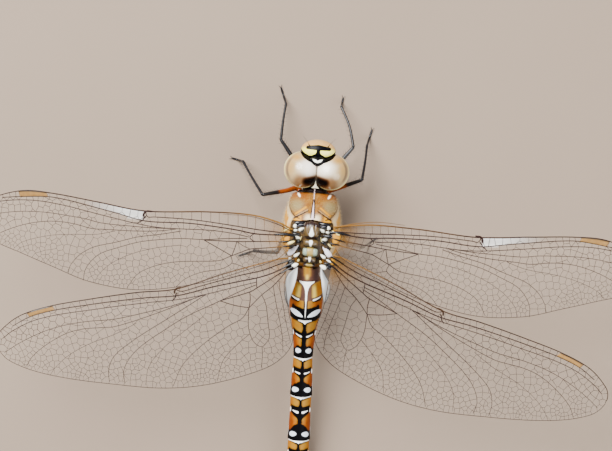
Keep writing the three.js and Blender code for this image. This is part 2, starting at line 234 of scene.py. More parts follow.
def joined(parts):  # several (points, faces) as one
    points, faces, start = [], [], 0
    for somePoints, someFaces in parts:
        points.append(np.asarray(somePoints, float))
        faces += [[start + v for v in face] for face in someFaces]
        start += len(somePoints)
    return np.concatenate(points), faces


def ballRings(centre, radii, lean=0, rows=24, columns=36):  # poles on the X axis
    theta = (np.arange(rows) + 0.5) / rows * math.pi
    phi = np.arange(columns) / columns * 2 * math.pi
    x = -np.cos(theta)[:, None] * np.ones(columns)
    y = np.sin(theta)[:, None] * np.cos(phi)
    z = np.sin(theta)[:, None] * np.sin(phi)
    p = np.stack([x, y, z], -1) * np.asarray(radii, float)
    c, s = cosSin(lean)
    turnedBall = np.stack([p[..., 0], c * p[..., 1] - s * p[..., 2], s * p[..., 1] + c * p[..., 2]], -1)
    return turnedBall + np.asarray(centre, float)


def limbRings(points, radii, steps=24, columns=12, flatness=1.0):
    path = splinePoints(points, 0.05)
    run = np.linspace(0, len(path) - 1, steps + 1)
    line = np.stack([np.interp(run, np.arange(len(path)), column) for column in path.T], 1)
    along = unit(np.gradient(line, axis=0))
    across = unit(np.cross(along, [0, 0, 1]))
    over = np.cross(across, along)
    size = np.asarray(radii(np.linspace(0, 1, steps + 1)) if callable(radii)
                      else evenCurve(radii, np.linspace(0, 1, steps + 1)))
    turn = (np.arange(columns) + 0.5) / columns * 2 * math.pi
    return (line[:, None] + across[:, None] * (np.cos(turn) * size[:, None])[..., None]
            + over[:, None] * (np.sin(turn) * size[:, None] * flatness)[..., None])


def inWords(name):  # sheenWeight becomes Sheen Weight
    return "".join(" " + letter if letter.isupper() else letter for letter in name).title()


# ---- finishes ----

def colour(*values):  # from the 0-255 values of a colour picker to linear light
    def linear(value):
        value /= 255
        return value / 12.92 if value <= 0.04045 else ((value + 0.055) / 1.055) ** 2.4
    return (*map(linear, values), 1)


def feed(tree, socket, value):  # a link, a colour or a plain value
    if isinstance(value, bpy.types.NodeSocket):
        tree.links.new(value, socket)
    elif isinstance(value, tuple) and socket.type == "RGBA":
        socket.default_value = colour(*value)
    else:
        socket.default_value = value


def addNode(tree, kind, inputs=(), **settings):
    made = tree.nodes.new(kind)
    for key, value in settings.items():
        setattr(made, key, value)
    for key, value in dict(inputs).items():
        feed(tree, made.inputs[key], value)
    return made.outputs


class finishMaker:  # one material in the making; its coordinates are in millimetres

    def __init__(self, name, **values):
        self.material = bpy.data.materials.new(name)
        self.material.use_nodes = True
        self.tree = self.material.node_tree
        self.shader = self.tree.nodes["Principled BSDF"]
        self.set(**values)
        self.place = None

    def set(self, **values):
        for key, value in values.items():
            feed(self.tree, self.shader.inputs[inWords(key).replace("Ior", "IOR")], value)

    def node(self, kind, inputs=(), output=0, **settings):
        return addNode(self.tree, kind, inputs, **settings)[output]

    def here(self):
        if self.place is None:
            spot = self.node("ShaderNodeTexCoord", output="Object")
            self.place = self.node("ShaderNodeVectorMath", {0: spot, "Scale": 1 / millimetre},
                                   operation="SCALE")
        return self.place

    def attribute(self, name):
        return self.node("ShaderNodeAttribute", output="Fac", attribute_name=name)

    def noise(self, scale, detail=3, place=None):
        return self.node("ShaderNodeTexNoise", {"Vector": place or self.here(), "Scale": scale,
                                                "Detail": detail, "Roughness": 0.55})

    def cells(self, scale):
        return self.node("ShaderNodeTexVoronoi", {"Vector": self.here(), "Scale": scale})

    def stretched(self, scale):
        return self.node("ShaderNodeMapping", {"Vector": self.here(), "Scale": scale})

    def maths(self, operation, a, b):
        return self.node("ShaderNodeMath", {0: a, 1: b}, operation=operation)

    def swing(self, value, amount):  # a 0-1 value moved to lie about zero, and scaled
        return self.maths("MULTIPLY", self.maths("SUBTRACT", value, 0.5), amount)

    def band(self, value, low, high, bottom=0.0, top=1.0):
        return self.node("ShaderNodeMapRange", {"Value": value, "From Min": low, "From Max": high,
                                                "To Min": bottom, "To Max": top},
                         interpolation_type="SMOOTHSTEP")

    def mix(self, share, a, b):
        return self.node("ShaderNodeMix", {0: share, 6: a, 7: b}, output=2, data_type="RGBA")

    def grain(self, scale, detail, depth, strength):
        self.set(normal=self.bump(self.noise(scale, detail), depth, strength))

    def paint(self, ground, **tints):  # each tint over the ones before, where its attribute is high
        for name, tint in tints.items():
            ground = self.mix(self.attribute(name), ground, tint)
        return ground

    def bump(self, height, depth, strength=1.0, under=None):  # depth in millimetres
        inputs = {"Height": height, "Distance": depth * millimetre, "Strength": strength}
        if under is not None:
            inputs["Normal"] = under
        return self.node("ShaderNodeBump", inputs)


# ---- wings ----

# each row is one chord, root to tip: out and back of its leading end, then of its trailing end
forewingChords = np.array([
    [0, -1.35, 0.2, 1.1], [2, -2.16, 1.7, 2.7], [5.5, -2.75, 5.5, 4.4], [11, -2.64, 11, 6.5],
    [18.8, -2.04, 18.6, 8.05], [25, -2.65, 25, 7.6], [30.5, -3.22, 30.2, 6], [34.4, -3.29, 34.4, 4.6],
    [37.7, -2.34, 37.3, 3.6], [39.5, -1.3, 39.3, 2.2], [40.2, -0.35, 40.2, 0.75],
])
hindwingChords = np.array([
    [0, -1.3, 1.2, 1.3], [1.2, -1.5, 1.65, 5], [2.8, -1.5, 2.1, 9.1], [5.4, -1.47, 4.6, 11.2],
    [9, -1.36, 8.6, 11.9], [15, -1, 14.6, 11.85], [20, -1.8, 20.2, 10.8], [26, -2.45, 26.5, 8.6],
    [31.2, -2.84, 31.5, 6.6], [35.2, -2.6, 35.4, 4.6], [38, -1.4, 38, 2.6], [39, -0.3, 39, 0.9],
])

wingMake = {
    "pleats": [(0, 0.28), (0.09, -0.2), (0.18, 0.3), (0.36, -0.16), (0.65, 0.08), (1, -0.12)],
    "tipPleat": 0.25,
    "tuckReach": 0.42,
    "roundFrom": 0.968,     # share of the wing after which the tip is rounded
    "membrane": 0.022,      # thickness
    "meshVein": 0.021,      # radius of the small veins
    "mainVein": 1.15,       # thicker or thinner main veins
    "cellSize": 0.98,       # a middling cell, across
    "rasterStep": 0.07,
    "veinSides": 6,
    "joinNear": 0.17,       # cell corners closer than this become one
    "joinVein": 0.24,       # and those closer than this to a main vein end on it
    "amberReach": 7.0,      # how far the amber tint goes out from the root
}

# main veins as (thickness at the root end, at the far end, points out and back from the root)
forewingVeins = {
    "subcosta": (0.062, 0.05, [(0.1, -0.8), (3.8, -0.92), (6, -1.06), (9, -1.28), (13, -1.47),
        (17.6, -1.39), (18.5, -1.3), (18.8, -1.75), (18.85, -2.02)]),
    "costaShade": (0.05, 0.02, [(0.2, -1.2), (2.2, -1.95), (5.5, -2.55), (9, -2.52)]),
    "radius": (0.075, 0.045, [(0.1, -0.6), (4.4, -0.38), (7, -0.66), (10.4, -0.88), (13.6, -0.97),
        (18.7, -0.77), (22.5, -1.45), (26.4, -2.14), (29.2, -2.59), (31.5, -2.76), (35.1, -2.44),
        (37.2, -2.15)]),
    "radialStem": (0.045, 0.045, [(5.4, 0.1), (7.5, -0.18), (10.5, -0.32), (14.8, -0.14), (17, -0.1),
        (19.5, -0.3), (23.9, -0.96), (26.4, -1.38), (29.1, -1.82), (32.4, -2.13), (35.1, -2.02),
        (37.6, -1.6), (39.2, -1.05)]),
    "radialSecond": (0.042, 0.03, [(14.8, -0.14), (17.8, 0.02), (20.3, 0.04), (24.3, -0.02), (26.3, -0.36),
        (28.4, -0.56), (31.5, -0.75), (34.6, -0.6), (37.4, -0.1), (39.4, 0.6)]),
    "radialBetween": (0.042, 0.03, [(14.8, -0.1), (16.8, 0.31), (20, 0.62), (23.7, 0.74), (25.5, 0.79),
        (27.6, 0.42), (29.3, 0.28), (31.5, 0.4), (34, 1), (36.4, 2), (38, 3)]),
    "radialThird": (0.042, 0.028, [(14.1, 0.1), (16.8, 0.77), (19.6, 1.36), (22.2, 2.24), (24.7, 2.98),
        (25.8, 3.54), (26.9, 4.42), (27.8, 5.7), (28, 6.7)]),
    "mediaFront": (0.045, 0.028, [(5.6, 0.28), (8.5, 0.58), (11.1, 0.93), (14.1, 1.06), (17.4, 1.55),
        (19.6, 2.05), (21.9, 2.9), (24, 3.8), (25.2, 4.9), (25.9, 6.2), (26, 7.5)]),
    "media": (0.055, 0.05, [(0.4, 0.22), (4.6, 0.6), (6.9, 0.81), (11.1, 0.99)]),
    "cubitus": (0.055, 0.045, [(0.2, 0.79), (3.2, 1.31), (5.1, 1.62), (6.2, 2.1), (7.5, 2.73)]),
    "mediaRear": (0.04, 0.026, [(7.5, 2.73), (9, 3.45), (11.5, 3.75), (14.5, 4.1), (17.2, 4.9), (19.2, 6.1),
        (20.4, 7.95)]),
    "cubitusRear": (0.038, 0.026, [(7.5, 2.73), (7.3, 3.6), (8.6, 4.5), (11, 5.1), (13, 6.1),
        (14.2, 7.35)]),
    "anal": (0.038, 0.026, [(7.3, 3.6), (6, 3.9), (5.2, 4.25)]),
    "triangleFront": (0.045, 0.045, [(11.1, 0.99), (7.4, 2.7)]),
    "triangleInner": (0.045, 0.045, [(6.9, 0.81), (7.1, 1.7), (7.4, 2.7)]),
    "innerTriangle": (0.035, 0.035, [(6.9, 0.81), (6, 1.3), (5.1, 1.62)]),
    "arculus": (0.05, 0.05, [(4.8, -0.36), (5.3, 0.1), (5, 0.45), (4.6, 0.6)]),
    "radialPlank": (0.026, 0.02, [(22.5, 0.85), (25, 1.5), (28, 1.75), (31, 2.2), (34, 3.2), (35.2, 4.2)]),
    "mediaPlank": (0.026, 0.02, [(14, 1.9), (17, 2.5), (20, 3.5), (22.5, 4.9), (24, 6.4), (24.5, 7.6)]),
}
forewingNodus = [
    (0.1, 0.115, [(18.1, -2.05), (18.75, -2.03), (19.05, -1.72), (19.1, -1.35)]),
    (0.08, 0.075, [(18.75, -1.35), (19.05, -1.05), (19.1, -0.82)]),
    (0.07, 0.05, [(19.05, -0.85), (19.5, -0.6), (19.8, -0.3)]),
]
hindwingVeins = {
    "subcosta": (0.062, 0.05, [(0.3, -0.95), (3.7, -0.59), (6.3, -0.67), (8.3, -0.65), (11.8, -0.59),
        (14.2, -0.5), (14.8, -0.75), (15.05, -0.98)]),
    "radius": (0.078, 0.045, [(0.3, -0.41), (2.4, 0.06), (4.5, 0.17), (7.2, 0.04), (10.5, -0.1),
        (14.9, -0.12), (19, -0.85), (23, -1.4), (26, -1.75), (30.8, -2.2), (34, -2.15), (36.4, -1.55)]),
    "radialStem": (0.045, 0.042, [(4.75, 0.67), (8, 0.63), (11.5, 0.6), (14.9, 0.4), (19, -0.2),
        (23, -0.72), (26, -1.05), (30.8, -1.55), (34, -1.52), (36.6, -0.95), (38, -0.35)]),
    "radialSecond": (0.042, 0.03, [(11.5, 0.6), (15.7, 0.95), (20.3, 0.95), (23.7, 0.8), (27, 0.25),
        (30, 0), (33, 0.15), (36, 0.75), (38.3, 1.5)]),
    "radialBetween": (0.04, 0.03, [(12.2, 0.62), (15.7, 1.14), (20.3, 1.6), (23.7, 1.75), (25.3, 1.5),
        (27.8, 1.05), (30.2, 1.1), (33, 1.9), (35, 2.9), (36, 3.9)]),
    "radialThird": (0.042, 0.028, [(11.5, 0.65), (16.4, 2.25), (20.5, 3.55), (22.6, 4.32), (24.3, 5.09),
        (25.3, 5.9), (26, 7.2), (26.2, 8.5)]),
    "mediaFront": (0.045, 0.028, [(4.9, 1.01), (6.8, 1.26), (9.9, 1.87), (14.5, 2.75), (18.2, 3.9),
        (21.1, 5), (23, 6.2), (24.1, 7.6), (24.3, 9.1)]),
    "media": (0.06, 0.05, [(0.4, -0.09), (2.6, 0.68), (4.9, 1.42), (5.9, 1.69), (9.9, 1.87)]),
    "anal": (0.05, 0.04, [(0.7, 0.3), (2.8, 1.67), (4.5, 2.44), (5.9, 3.28), (6.5, 3.65)]),
    "cubitusRear": (0.038, 0.026, [(6.5, 3.65), (7.7, 4.75), (9.8, 5.32), (13.6, 6.86), (16.6, 8.7),
        (18.4, 11)]),
    "triangleFront": (0.045, 0.045, [(9.9, 1.87), (8.2, 2.9), (6.5, 3.65)]),
    "triangleInner": (0.045, 0.045, [(5.9, 1.69), (6.1, 2.7), (6.5, 3.65)]),
    "arculus": (0.055, 0.05, [(4.6, 0.17), (4.75, 0.67), (4.9, 1.42)]),
    "loopOuter": (0.036, 0.03, [(6.5, 3.65), (7.1, 5.6), (7.2, 6.9), (6.9, 8.2), (6.1, 8.9), (5.1, 8.3)]),
    "loopInner": (0.034, 0.03, [(4.5, 2.44), (4.3, 3.81), (4.6, 6.11), (4.8, 7.64), (5.1, 8.3)]),
    "analBranch": (0.034, 0.026, [(2.8, 1.67), (3, 4), (3.1, 6.5), (3.3, 8.6), (3.7, 10.3)]),
    "analTriangle": (0.034, 0.028, [(1.9, 1.15), (2.1, 2.6), (2.15, 4.2), (2.35, 6.4), (2.4, 9.2)]),
    "loopTail": (0.03, 0.024, [(6.1, 8.9), (6.4, 10.2), (6.9, 11.6)]),
    "cubitusBranch": (0.03, 0.024, [(7.2, 6.9), (9.4, 8), (11.4, 9.4), (12.8, 11.8)]),
    "radialPlank": (0.026, 0.02, [(21, 2.0), (24, 2.7), (27.5, 3.1), (30.5, 3.9), (32.5, 5), (33.4, 5.8)]),
    "mediaPlank": (0.026, 0.02, [(12.5, 3.3), (15.5, 4.6), (18.5, 6), (20.8, 7.8), (21.8, 10)]),
}
hindwingNodus = [
    (0.095, 0.11, [(14.3, -1.02), (14.95, -1.02), (15.25, -0.75), (15.3, -0.5)]),
    (0.08, 0.07, [(14.95, -0.5), (15.2, -0.3), (15.3, -0.12)]),
    (0.07, 0.05, [(15.2, -0.15), (15.5, 0.15), (15.9, 0.4)]),
]
def closerRear(chords, steps):  # the rear ends of the first chords brought nearer the body
    moved = chords.copy()
    moved[:len(steps), 2] -= steps
    return moved


# milk gives the stretch of a painted reflection on the forewing membrane
forewing = {"chords": forewingChords, "veins": forewingVeins, "nodus": forewingNodus, "lift": 3.5,
            "stigma": (31.5, 35.1), "milk": (18.9, 29.0)}
hindwing = {"chords": hindwingChords, "veins": hindwingVeins, "nodus": hindwingNodus, "lift": 1,
            "stigma": (30.8, 34.2), "milk": None}
wings = [
    {**forewing, "name": "forewing_left", "side": 1, "root": (2.56, 0, 11.95), "sweep": -5.1, "tuck": 0},
    {**forewing, "name": "forewing_right", "side": -1, "root": (-2.82, -0.3, 11.95), "sweep": 5.9,
     "tuck": 0.6},
    {**hindwing, "name": "hindwing_left", "side": 1, "root": (2.56, 3.59, 10.9), "sweep": 14.2, "tuck": 0},
    {**hindwing, "name": "hindwing_right", "side": -1, "root": (-2.95, 3.46, 10.9), "sweep": 25.9, "tuck": 0,
     "chords": closerRear(hindwingChords, (0.6, 0.1)), "pull": 0.6},
]


def chordEnds(wing, t):  # leading and trailing end of each chord, with the tip rounded off
    t = np.asarray(t, float)
    leadOut, leadBack, trailOut, trailBack = (evenCurve(column, t) for column in wing["chords"].T)
    leadBack = leadBack + wing["tuck"] * np.sin(math.pi * np.minimum(t / wingMake["tuckReach"], 1))
    x = np.clip((t - wingMake["roundFrom"]) / (1 - wingMake["roundFrom"]), 0, 1)
    part = np.sqrt(np.clip(1 - x * x, 0.0004, 1))
    part = part[..., None]
    lead, trail = np.stack([leadOut, leadBack], -1), np.stack([trailOut, trailBack], -1)
    middle = (lead + trail) / 2
    return middle + (lead - middle) * part, middle + (trail - middle) * part


def foldHeight(t, share, chord):
    places, heights = zip(*wingMake["pleats"])
    fade = (1 + (wingMake["tipPleat"] - 1) * t) * np.minimum(1, chord / 4)
    return np.interp(share, places, heights) * fade


def onWing(wing, flat):  # points out and back from the root, raised onto the folded wing
    flat = np.asarray(flat, float)
    t = np.linspace(0, 1, 401)
    lead, trail = chordEnds(wing, t)
    across = trail - lead
    lean = (across[:, 0] * (flat[:, None, 1] - lead[:, 1]) - across[:, 1] * (flat[:, None, 0] - lead[:, 0]))
    ahead = lean < 0  # the point is further out than the chord
    i = np.clip(ahead.sum(1) - 1, 0, 399)
    rows = np.arange(len(flat))
    part = lean[rows, i] / (lean[rows, i] - lean[rows, i + 1] + 1e-9)
    tHere = t[i] + np.clip(part, 0, 1) * (t[1] - t[0])
    leadHere, trailHere = chordEnds(wing, tHere)
    chord = np.linalg.norm(trailHere - leadHere, axis=1)
    share = ((flat - leadHere) * (trailHere - leadHere)).sum(1) / np.maximum(chord, 1e-6) ** 2
    height = foldHeight(tHere, np.clip(share, 0, 1), chord)
    return fromWing(wing, np.column_stack([flat, height])), tHere, share


def fromWing(wing, points):  # from out, back and up to the animal's frame
    out, back, up = np.moveaxis(np.asarray(points, float), -1, 0)
    out = out - wing.get("pull", 0) * fading(out, 0.5, 6)
    lift = math.radians(wing["lift"])
    level = np.stack([wing["side"] * (out * math.cos(lift) - up * math.sin(lift)), back,
                      out * math.sin(lift) + up * math.cos(lift)], -1)
    return turned(level, wing["sweep"] * wing["side"], wing["root"])


def edgeLine(wing, trailing, start=0.0):
    t = np.linspace(start, 1, 260)
    return chordEnds(wing, t)[1 if trailing else 0]


# splits a wing into the fields between its main veins and fills each with cells; gives the cell walls
def cellWalls(wing, lines, seed):
    step = wingMake["rasterStep"]
    rng = np.random.default_rng(seed)
    border = np.concatenate([edgeLine(wing, False), edgeLine(wing, True)[::-1]])
    low = border.min(0) - 2 * step
    size = np.ceil((border.max(0) + 2 * step - low) / step).astype(int)
    out, back = np.meshgrid(*(low[k] + (np.arange(size[k]) + 0.5) * step for k in (0, 1)), indexing="ij")
    inside = np.zeros(out.shape, bool)
    following = np.roll(border, -1, 0)
    for (x0, y0), (x1, y1) in zip(border, following):  # even-odd rule
        if y0 != y1:
            crosses = (y0 > back) != (y1 > back)
            inside ^= crosses & (out < (x1 - x0) * (back - y0) / (y1 - y0) + x0)
    for line in lines:
        close = splinePoints(line, step * 0.4) if len(line) < 60 else line
        close = np.concatenate([np.linspace(a, b, 6) for a, b in zip(close[:-1], close[1:])])
        i, j = ((close - low) / step).astype(int).T
        inside[np.clip(i, 0, size[0] - 1), np.clip(j, 0, size[1] - 1)] = False
    fields = connectedFields(inside)
    walls = []
    for field in range(1, fields.max() + 1):
        spots = np.argwhere(fields == field)
        if len(spots) * step * step < 0.16:
            continue
        points = low + (spots + 0.5) * step
        depth = thickest(fields == field) * step
        middle = points.mean(0)
        axes = np.linalg.svd(points - middle, full_matrices=False)[2] if len(points) < 4000 else \
            np.linalg.eigh(np.cov((points - middle).T))[1][:, ::-1].T
        along = (points - middle) @ axes[0]
        cell = cellSizeAt(wing, points)
        if 2 * depth < 1.3 * cell.mean() or shareOf(wing, points).mean() < 0.17:  # a ladder
            rung = np.clip(0.5 + 0.45 * 2 * depth, 0.6, 1.15)
            count = max(1, int(round((along.max() - along.min()) / rung)))
            cuts = np.linspace(along.min(), along.max(), count + 1)[1:-1]
            cuts = cuts + rng.uniform(-0.1, 0.1, len(cuts)) * rung
            slant = (points - middle) @ axes[1]
            labels = np.searchsorted(np.sort(cuts), along + 0.12 * slant)
        else:
            labels = spreadCells(points, cell, step, rng)
        table = -np.ones(size, int)
        table[tuple(spots.T)] = labels
        walls += wallsBetween(table, low, step)
    return walls


def connectedFields(inside):
    fields = np.zeros(inside.shape, int)
    count = 0
    rows, columns = inside.shape
    waiting = inside.copy()
    for i0, j0 in np.argwhere(inside):
        if not waiting[i0, j0]:
            continue
        count += 1
        stack = [(int(i0), int(j0))]
        waiting[i0, j0] = False
        while stack:
            i, j = stack.pop()
            fields[i, j] = count
            for a, b in ((i + 1, j), (i - 1, j), (i, j + 1), (i, j - 1)):
                if 0 <= a < rows and 0 <= b < columns and waiting[a, b]:
                    waiting[a, b] = False
                    stack.append((a, b))
    return fields


def thickest(mask):  # how many times a field can be pared before it is gone
    i, j = np.argwhere(mask).T
    part = np.pad(mask[i.min():i.max() + 1, j.min():j.max() + 1], 1)
    count = 0
    while part.any() and count < 40:
        part = part & np.roll(part, 1, 0) & np.roll(part, -1, 0) & np.roll(part, 1, 1) & np.roll(part, -1, 1)
        count += 1
    return count


def shareOf(wing, points):  # how far back on the chord, roughly
    lead, trail = chordEnds(wing, np.linspace(0, 1, 101))
    back = np.interp(points[:, 0], trail[:, 0], trail[:, 1])
    front = np.interp(points[:, 0], lead[:, 0], lead[:, 1])
    return (points[:, 1] - front) / np.maximum(back - front, 0.5)


def cellSizeAt(wing, points):
    share = shareOf(wing, points)
    reach = points[:, 0] / wing["chords"][-1, 0]
    return wingMake["cellSize"] * (1 - 0.36 * smooth(share, 0.45, 1)) * (1 - 0.22 * smooth(reach, 0.55, 1))


def spreadCells(points, cell, step, rng):  # cells of the wished size, evened out
    count = max(2, int(round((step * step / cell ** 2).sum() * 1.12)))
    weight = 1 / cell ** 2
    seeds = points[rng.choice(len(points), count, replace=False, p=weight / weight.sum())]
    thin = slice(None, None, max(1, len(points) // 6000))
    for _ in range(16):
        some, pull = points[thin], weight[thin] ** 2
        nearest = ((some[:, None] - seeds) ** 2).sum(2).argmin(1)
        total = np.bincount(nearest, pull, count)
        for axis in (0, 1):
            moved = np.bincount(nearest, pull * some[:, axis], count) / np.maximum(total, 1e-9)
            seeds[:, axis] = np.where(total > 0, moved, seeds[:, axis])
    return np.concatenate([((part[:, None] - seeds) ** 2).sum(2).argmin(1)
                           for part in np.array_split(points, len(points) // 4000 + 1)])


def wallsBetween(table, low, step):  # the straight wall between each two neighbouring cells
    meetings = {}
    for axis in (0, 1):
        a = table[:-1] if axis == 0 else table[:, :-1]
        b = table[1:] if axis == 0 else table[:, 1:]
        meet = np.argwhere((a != b) & (a >= 0) & (b >= 0))
        offset = np.array([1.0, 0.5] if axis == 0 else [0.5, 1.0])
        for spot in meet:
            pair = tuple(sorted((a[tuple(spot)], b[tuple(spot)])))
            meetings.setdefault(pair, []).append(low + (spot + offset) * step)
    walls = []
    for spots in meetings.values():
        spots = np.array(spots)
        if len(spots) < 3:
            continue
        middle = spots.mean(0)
        along = np.linalg.svd(spots - middle, full_matrices=False)[2][0]
        run = (spots - middle) @ along
        walls.append((middle + along * (run.min() - step / 2), middle + along * (run.max() + step / 2)))
    return walls


def drawTogether(ends, mains):  # joins wall ends to each other and to the main veins
    tree = kdtree.KDTree(len(ends))
    for i, end in enumerate(ends):
        tree.insert((*end, 0), i)
    tree.balance()
    places = np.array(ends)
    done = np.zeros(len(ends), bool)
    for i, end in enumerate(ends):
        if done[i]:
            continue
        group = [k for _, k, _ in tree.find_range((*end, 0), wingMake["joinNear"]) if not done[k]]
        places[group] = np.mean([ends[k] for k in group], axis=0)
        done[group] = True
    lines = kdtree.KDTree(len(mains))
    for i, point in enumerate(mains):
        lines.insert((*point, 0), i)
    lines.balance()
    for i, place in enumerate(places):
        spot, _, distance = lines.find((*place, 0))
        if distance < wingMake["joinVein"]:
            places[i] = spot[:2]
    return places


def newTree(name, **inputs):  # a node tree that a mesh goes through, with named inputs
    tree = bpy.data.node_groups.new(name, "GeometryNodeTree")
    kinds = {float: "NodeSocketFloat", int: "NodeSocketInt"}
    for way in ("INPUT", "OUTPUT"):
        tree.interface.new_socket("Geometry", in_out=way, socket_type="NodeSocketGeometry")
    for key, value in inputs.items():
        socket = tree.interface.new_socket(inWords(key), in_out="INPUT", socket_type=kinds[type(value)])
        socket.default_value = value
    return tree, tree.nodes.new("NodeGroupInput").outputs


def closeTree(tree, result, material):  # makes the result real and paints it
    real = addNode(tree, "GeometryNodeRealizeInstances", {"Geometry": result})["Geometry"]
    painted = addNode(tree, "GeometryNodeSetMaterial", {"Geometry": real, "Material": material})["Geometry"]
    addNode(tree, "NodeGroupOutput", {"Geometry": painted})
    return tree


def veinTree(name, material):  # tubes along the edges of a net, as thick as its "thickness" says
    tree, given = newTree(name, thicknessFactor=1.0, sides=6)
    curve = addNode(tree, "GeometryNodeMeshToCurve", {"Mesh": given["Geometry"]})["Curve"]
    thickness = addNode(tree, "GeometryNodeInputNamedAttribute", {"Name": "thickness"})["Attribute"]
    scale = addNode(tree, "ShaderNodeMath", {0: thickness, 1: given["Thickness Factor"]},
                    operation="MULTIPLY")[0]
    ring = addNode(tree, "GeometryNodeCurvePrimitiveCircle", {"Radius": 1, "Resolution": given["Sides"]})
    tube = addNode(tree, "GeometryNodeCurveToMesh", {"Curve": curve, "Profile Curve": ring["Curve"],
                                                     "Scale": scale, "Fill Caps": True})["Mesh"]
    shaded = addNode(tree, "GeometryNodeSetShadeSmooth", {"Geometry": tube})["Geometry"]
    return closeTree(tree, shaded, material)


def settled(piece, tree, material, **values):  # runs a node tree on a piece and keeps the plain mesh
    grow = piece.modifiers.new("Nodes", "NODES")
    grow.node_group = tree
    named = {item.name: item.identifier for item in tree.interface.items_tree if item.in_out == "INPUT"}
    for key, value in values.items():
        grow[named[inWords(key)]] = value
    sight = bpy.context.evaluated_depsgraph_get()
    mesh = bpy.data.meshes.new_from_object(piece.evaluated_get(sight))
    piece.modifiers.remove(grow)
    old = piece.data
    piece.data = mesh
    mesh.name = piece.name
    bpy.data.meshes.remove(old)
    mesh.materials.clear()
    mesh.materials.append(material)
    return piece


def veinFinish():
    make = finishMaker("wingVein", roughness=0.42, specularIorLevel=0.15)
    grain = make.noise(3, 2)
    dark = make.mix(grain, (12, 4, 2), (40, 15, 9))
    amber = make.mix(grain, (88, 52, 8), (130, 90, 24))
    make.set(baseColor=make.mix(make.attribute("amber"), dark, amber))
    make.grain(30, 2, 0.01, 0.4)
    return make.material


def membraneFinish():
    make = finishMaker("wingMembrane", roughness=0.26, specularIorLevel=0.25)
    cloud = make.noise(0.35, 3)
    clear = make.mix(cloud, (138, 126, 122), (150, 140, 124))
    # painted reflection: where the light glints on the membrane behind the nodus, it is painted white and
    # more opaque
    milk = make.attribute("milk")
    make.set(baseColor=make.paint(clear, amber=(124, 82, 2), milk=(214, 212, 208)))
    veil = make.maths("ADD", make.band(cloud, 0.3, 0.7, 0.02, 0.045),
                      make.maths("MULTIPLY", make.attribute("amber"), 0.22))
    make.set(alpha=make.maths("MAXIMUM", veil, make.maths("MULTIPLY", milk, 0.6)))
    make.grain(2.2, 3, 0.03, 0.25)
    return make.material


def stigmaFinish():
    make = finishMaker("wingSpot", roughness=0.3, coatWeight=0.3, coatRoughness=0.15)
    grain = make.noise(2.5, 3)
    tan = make.mix(grain, (118, 80, 34), (158, 122, 70))
    make.set(baseColor=make.mix(make.attribute("rim"), tan, (12, 7, 5)))
    make.grain(9, 3, 0.02, 0.4)
    return make.material


wingFinishes = {"vein": veinFinish(), "membrane": membraneFinish(), "spot": stigmaFinish()}


def makeVeins(wing):
    reach = wingMake["amberReach"]
    lines = [(splinePoints(points, 0.3), first, last) for first, last, points in wing["veins"].values()]
    nodus = [(splinePoints(points, 0.12), first, last) for first, last, points in wing["nodus"]]
    inset = 0.998
    lead = edgeLine(wing, False)
    trail = edgeLine(wing, True, 0.02)
    middle = (chordEnds(wing, 1)[0] + chordEnds(wing, 1)[1]) / 2 * inset
    lines.append((np.concatenate([lead[:-1], [middle]]), 0.085, 0.045))
    lines.append((np.concatenate([trail[:-1], [middle]]), 0.035, 0.03))
    rough = [points for _, _, points in wing["veins"].values()] + [lead, edgeLine(wing, True)]
    walls = cellWalls(wing, rough, seed=len(wing["veins"]))
    dense = np.concatenate([splinePoints(line, 0.05) if len(line) < 60 else line
                            for line in rough[:-2]]
                           + [np.concatenate([np.linspace(a, b, 5) for a, b in zip(line[:-1], line[1:])])
                              for line in rough[-2:]])
    ends = drawTogether([end for wall in walls for end in wall], dense)
    points, edges, thickness = [], [], []
    for line, first, last in lines + nodus:
        start = len(points)
        points += list(line)
        edges += [(start + i, start + i + 1) for i in range(len(line) - 1)]
        thickness += list(np.linspace(first, last, len(line)) * wingMake["mainVein"])
    keys = {}
    for a, b in zip(ends[0::2], ends[1::2]):
        if np.linalg.norm(a - b) < 0.08:
            continue
        pair = []
        for end in (a, b):
            key = tuple(np.round(end, 3))
            if key not in keys:
                keys[key] = len(points)
                points.append(end)
                thickness.append(wingMake["meshVein"] * (1.25 if end[1] < 1 else 1))
            pair.append(keys[key])
        edges.append(tuple(pair))
    placed, _, share = onWing(wing, points)
    net = newPiece("veins_" + wing["name"], buildMesh("net", placed, [], edges))
    setAttribute(net.data, "thickness", np.array(thickness) * millimetre)
    out = np.array(points)[:, 0]
    front = np.clip(1 - share / 0.05, 0, 1) * (1.1 - 0.95 * smooth(out, 2, 10) - 0.15 * smooth(out, 14, 18))
    back = np.array(points)[:, 1]
    rear = fading(np.hypot(out, back), 1, reach * 0.6) * smooth(share, 0.3, 0.6)
    setAttribute(net.data, "amber", np.clip(np.maximum(front, rear * 0.8), 0, 1))
    tree = veinTree("veinTubes_" + wing["name"], wingFinishes["vein"])
    settled(net, tree, wingFinishes["vein"], sides=wingMake["veinSides"])
    return finishPiece(net, "wing_membrane")


def wingSheet(wing, flat, height, half):  # half its thickness above and below a height
    return sheetSkin(*[fromWing(wing, np.dstack([flat, height + rise])) for rise in (half, -half)])


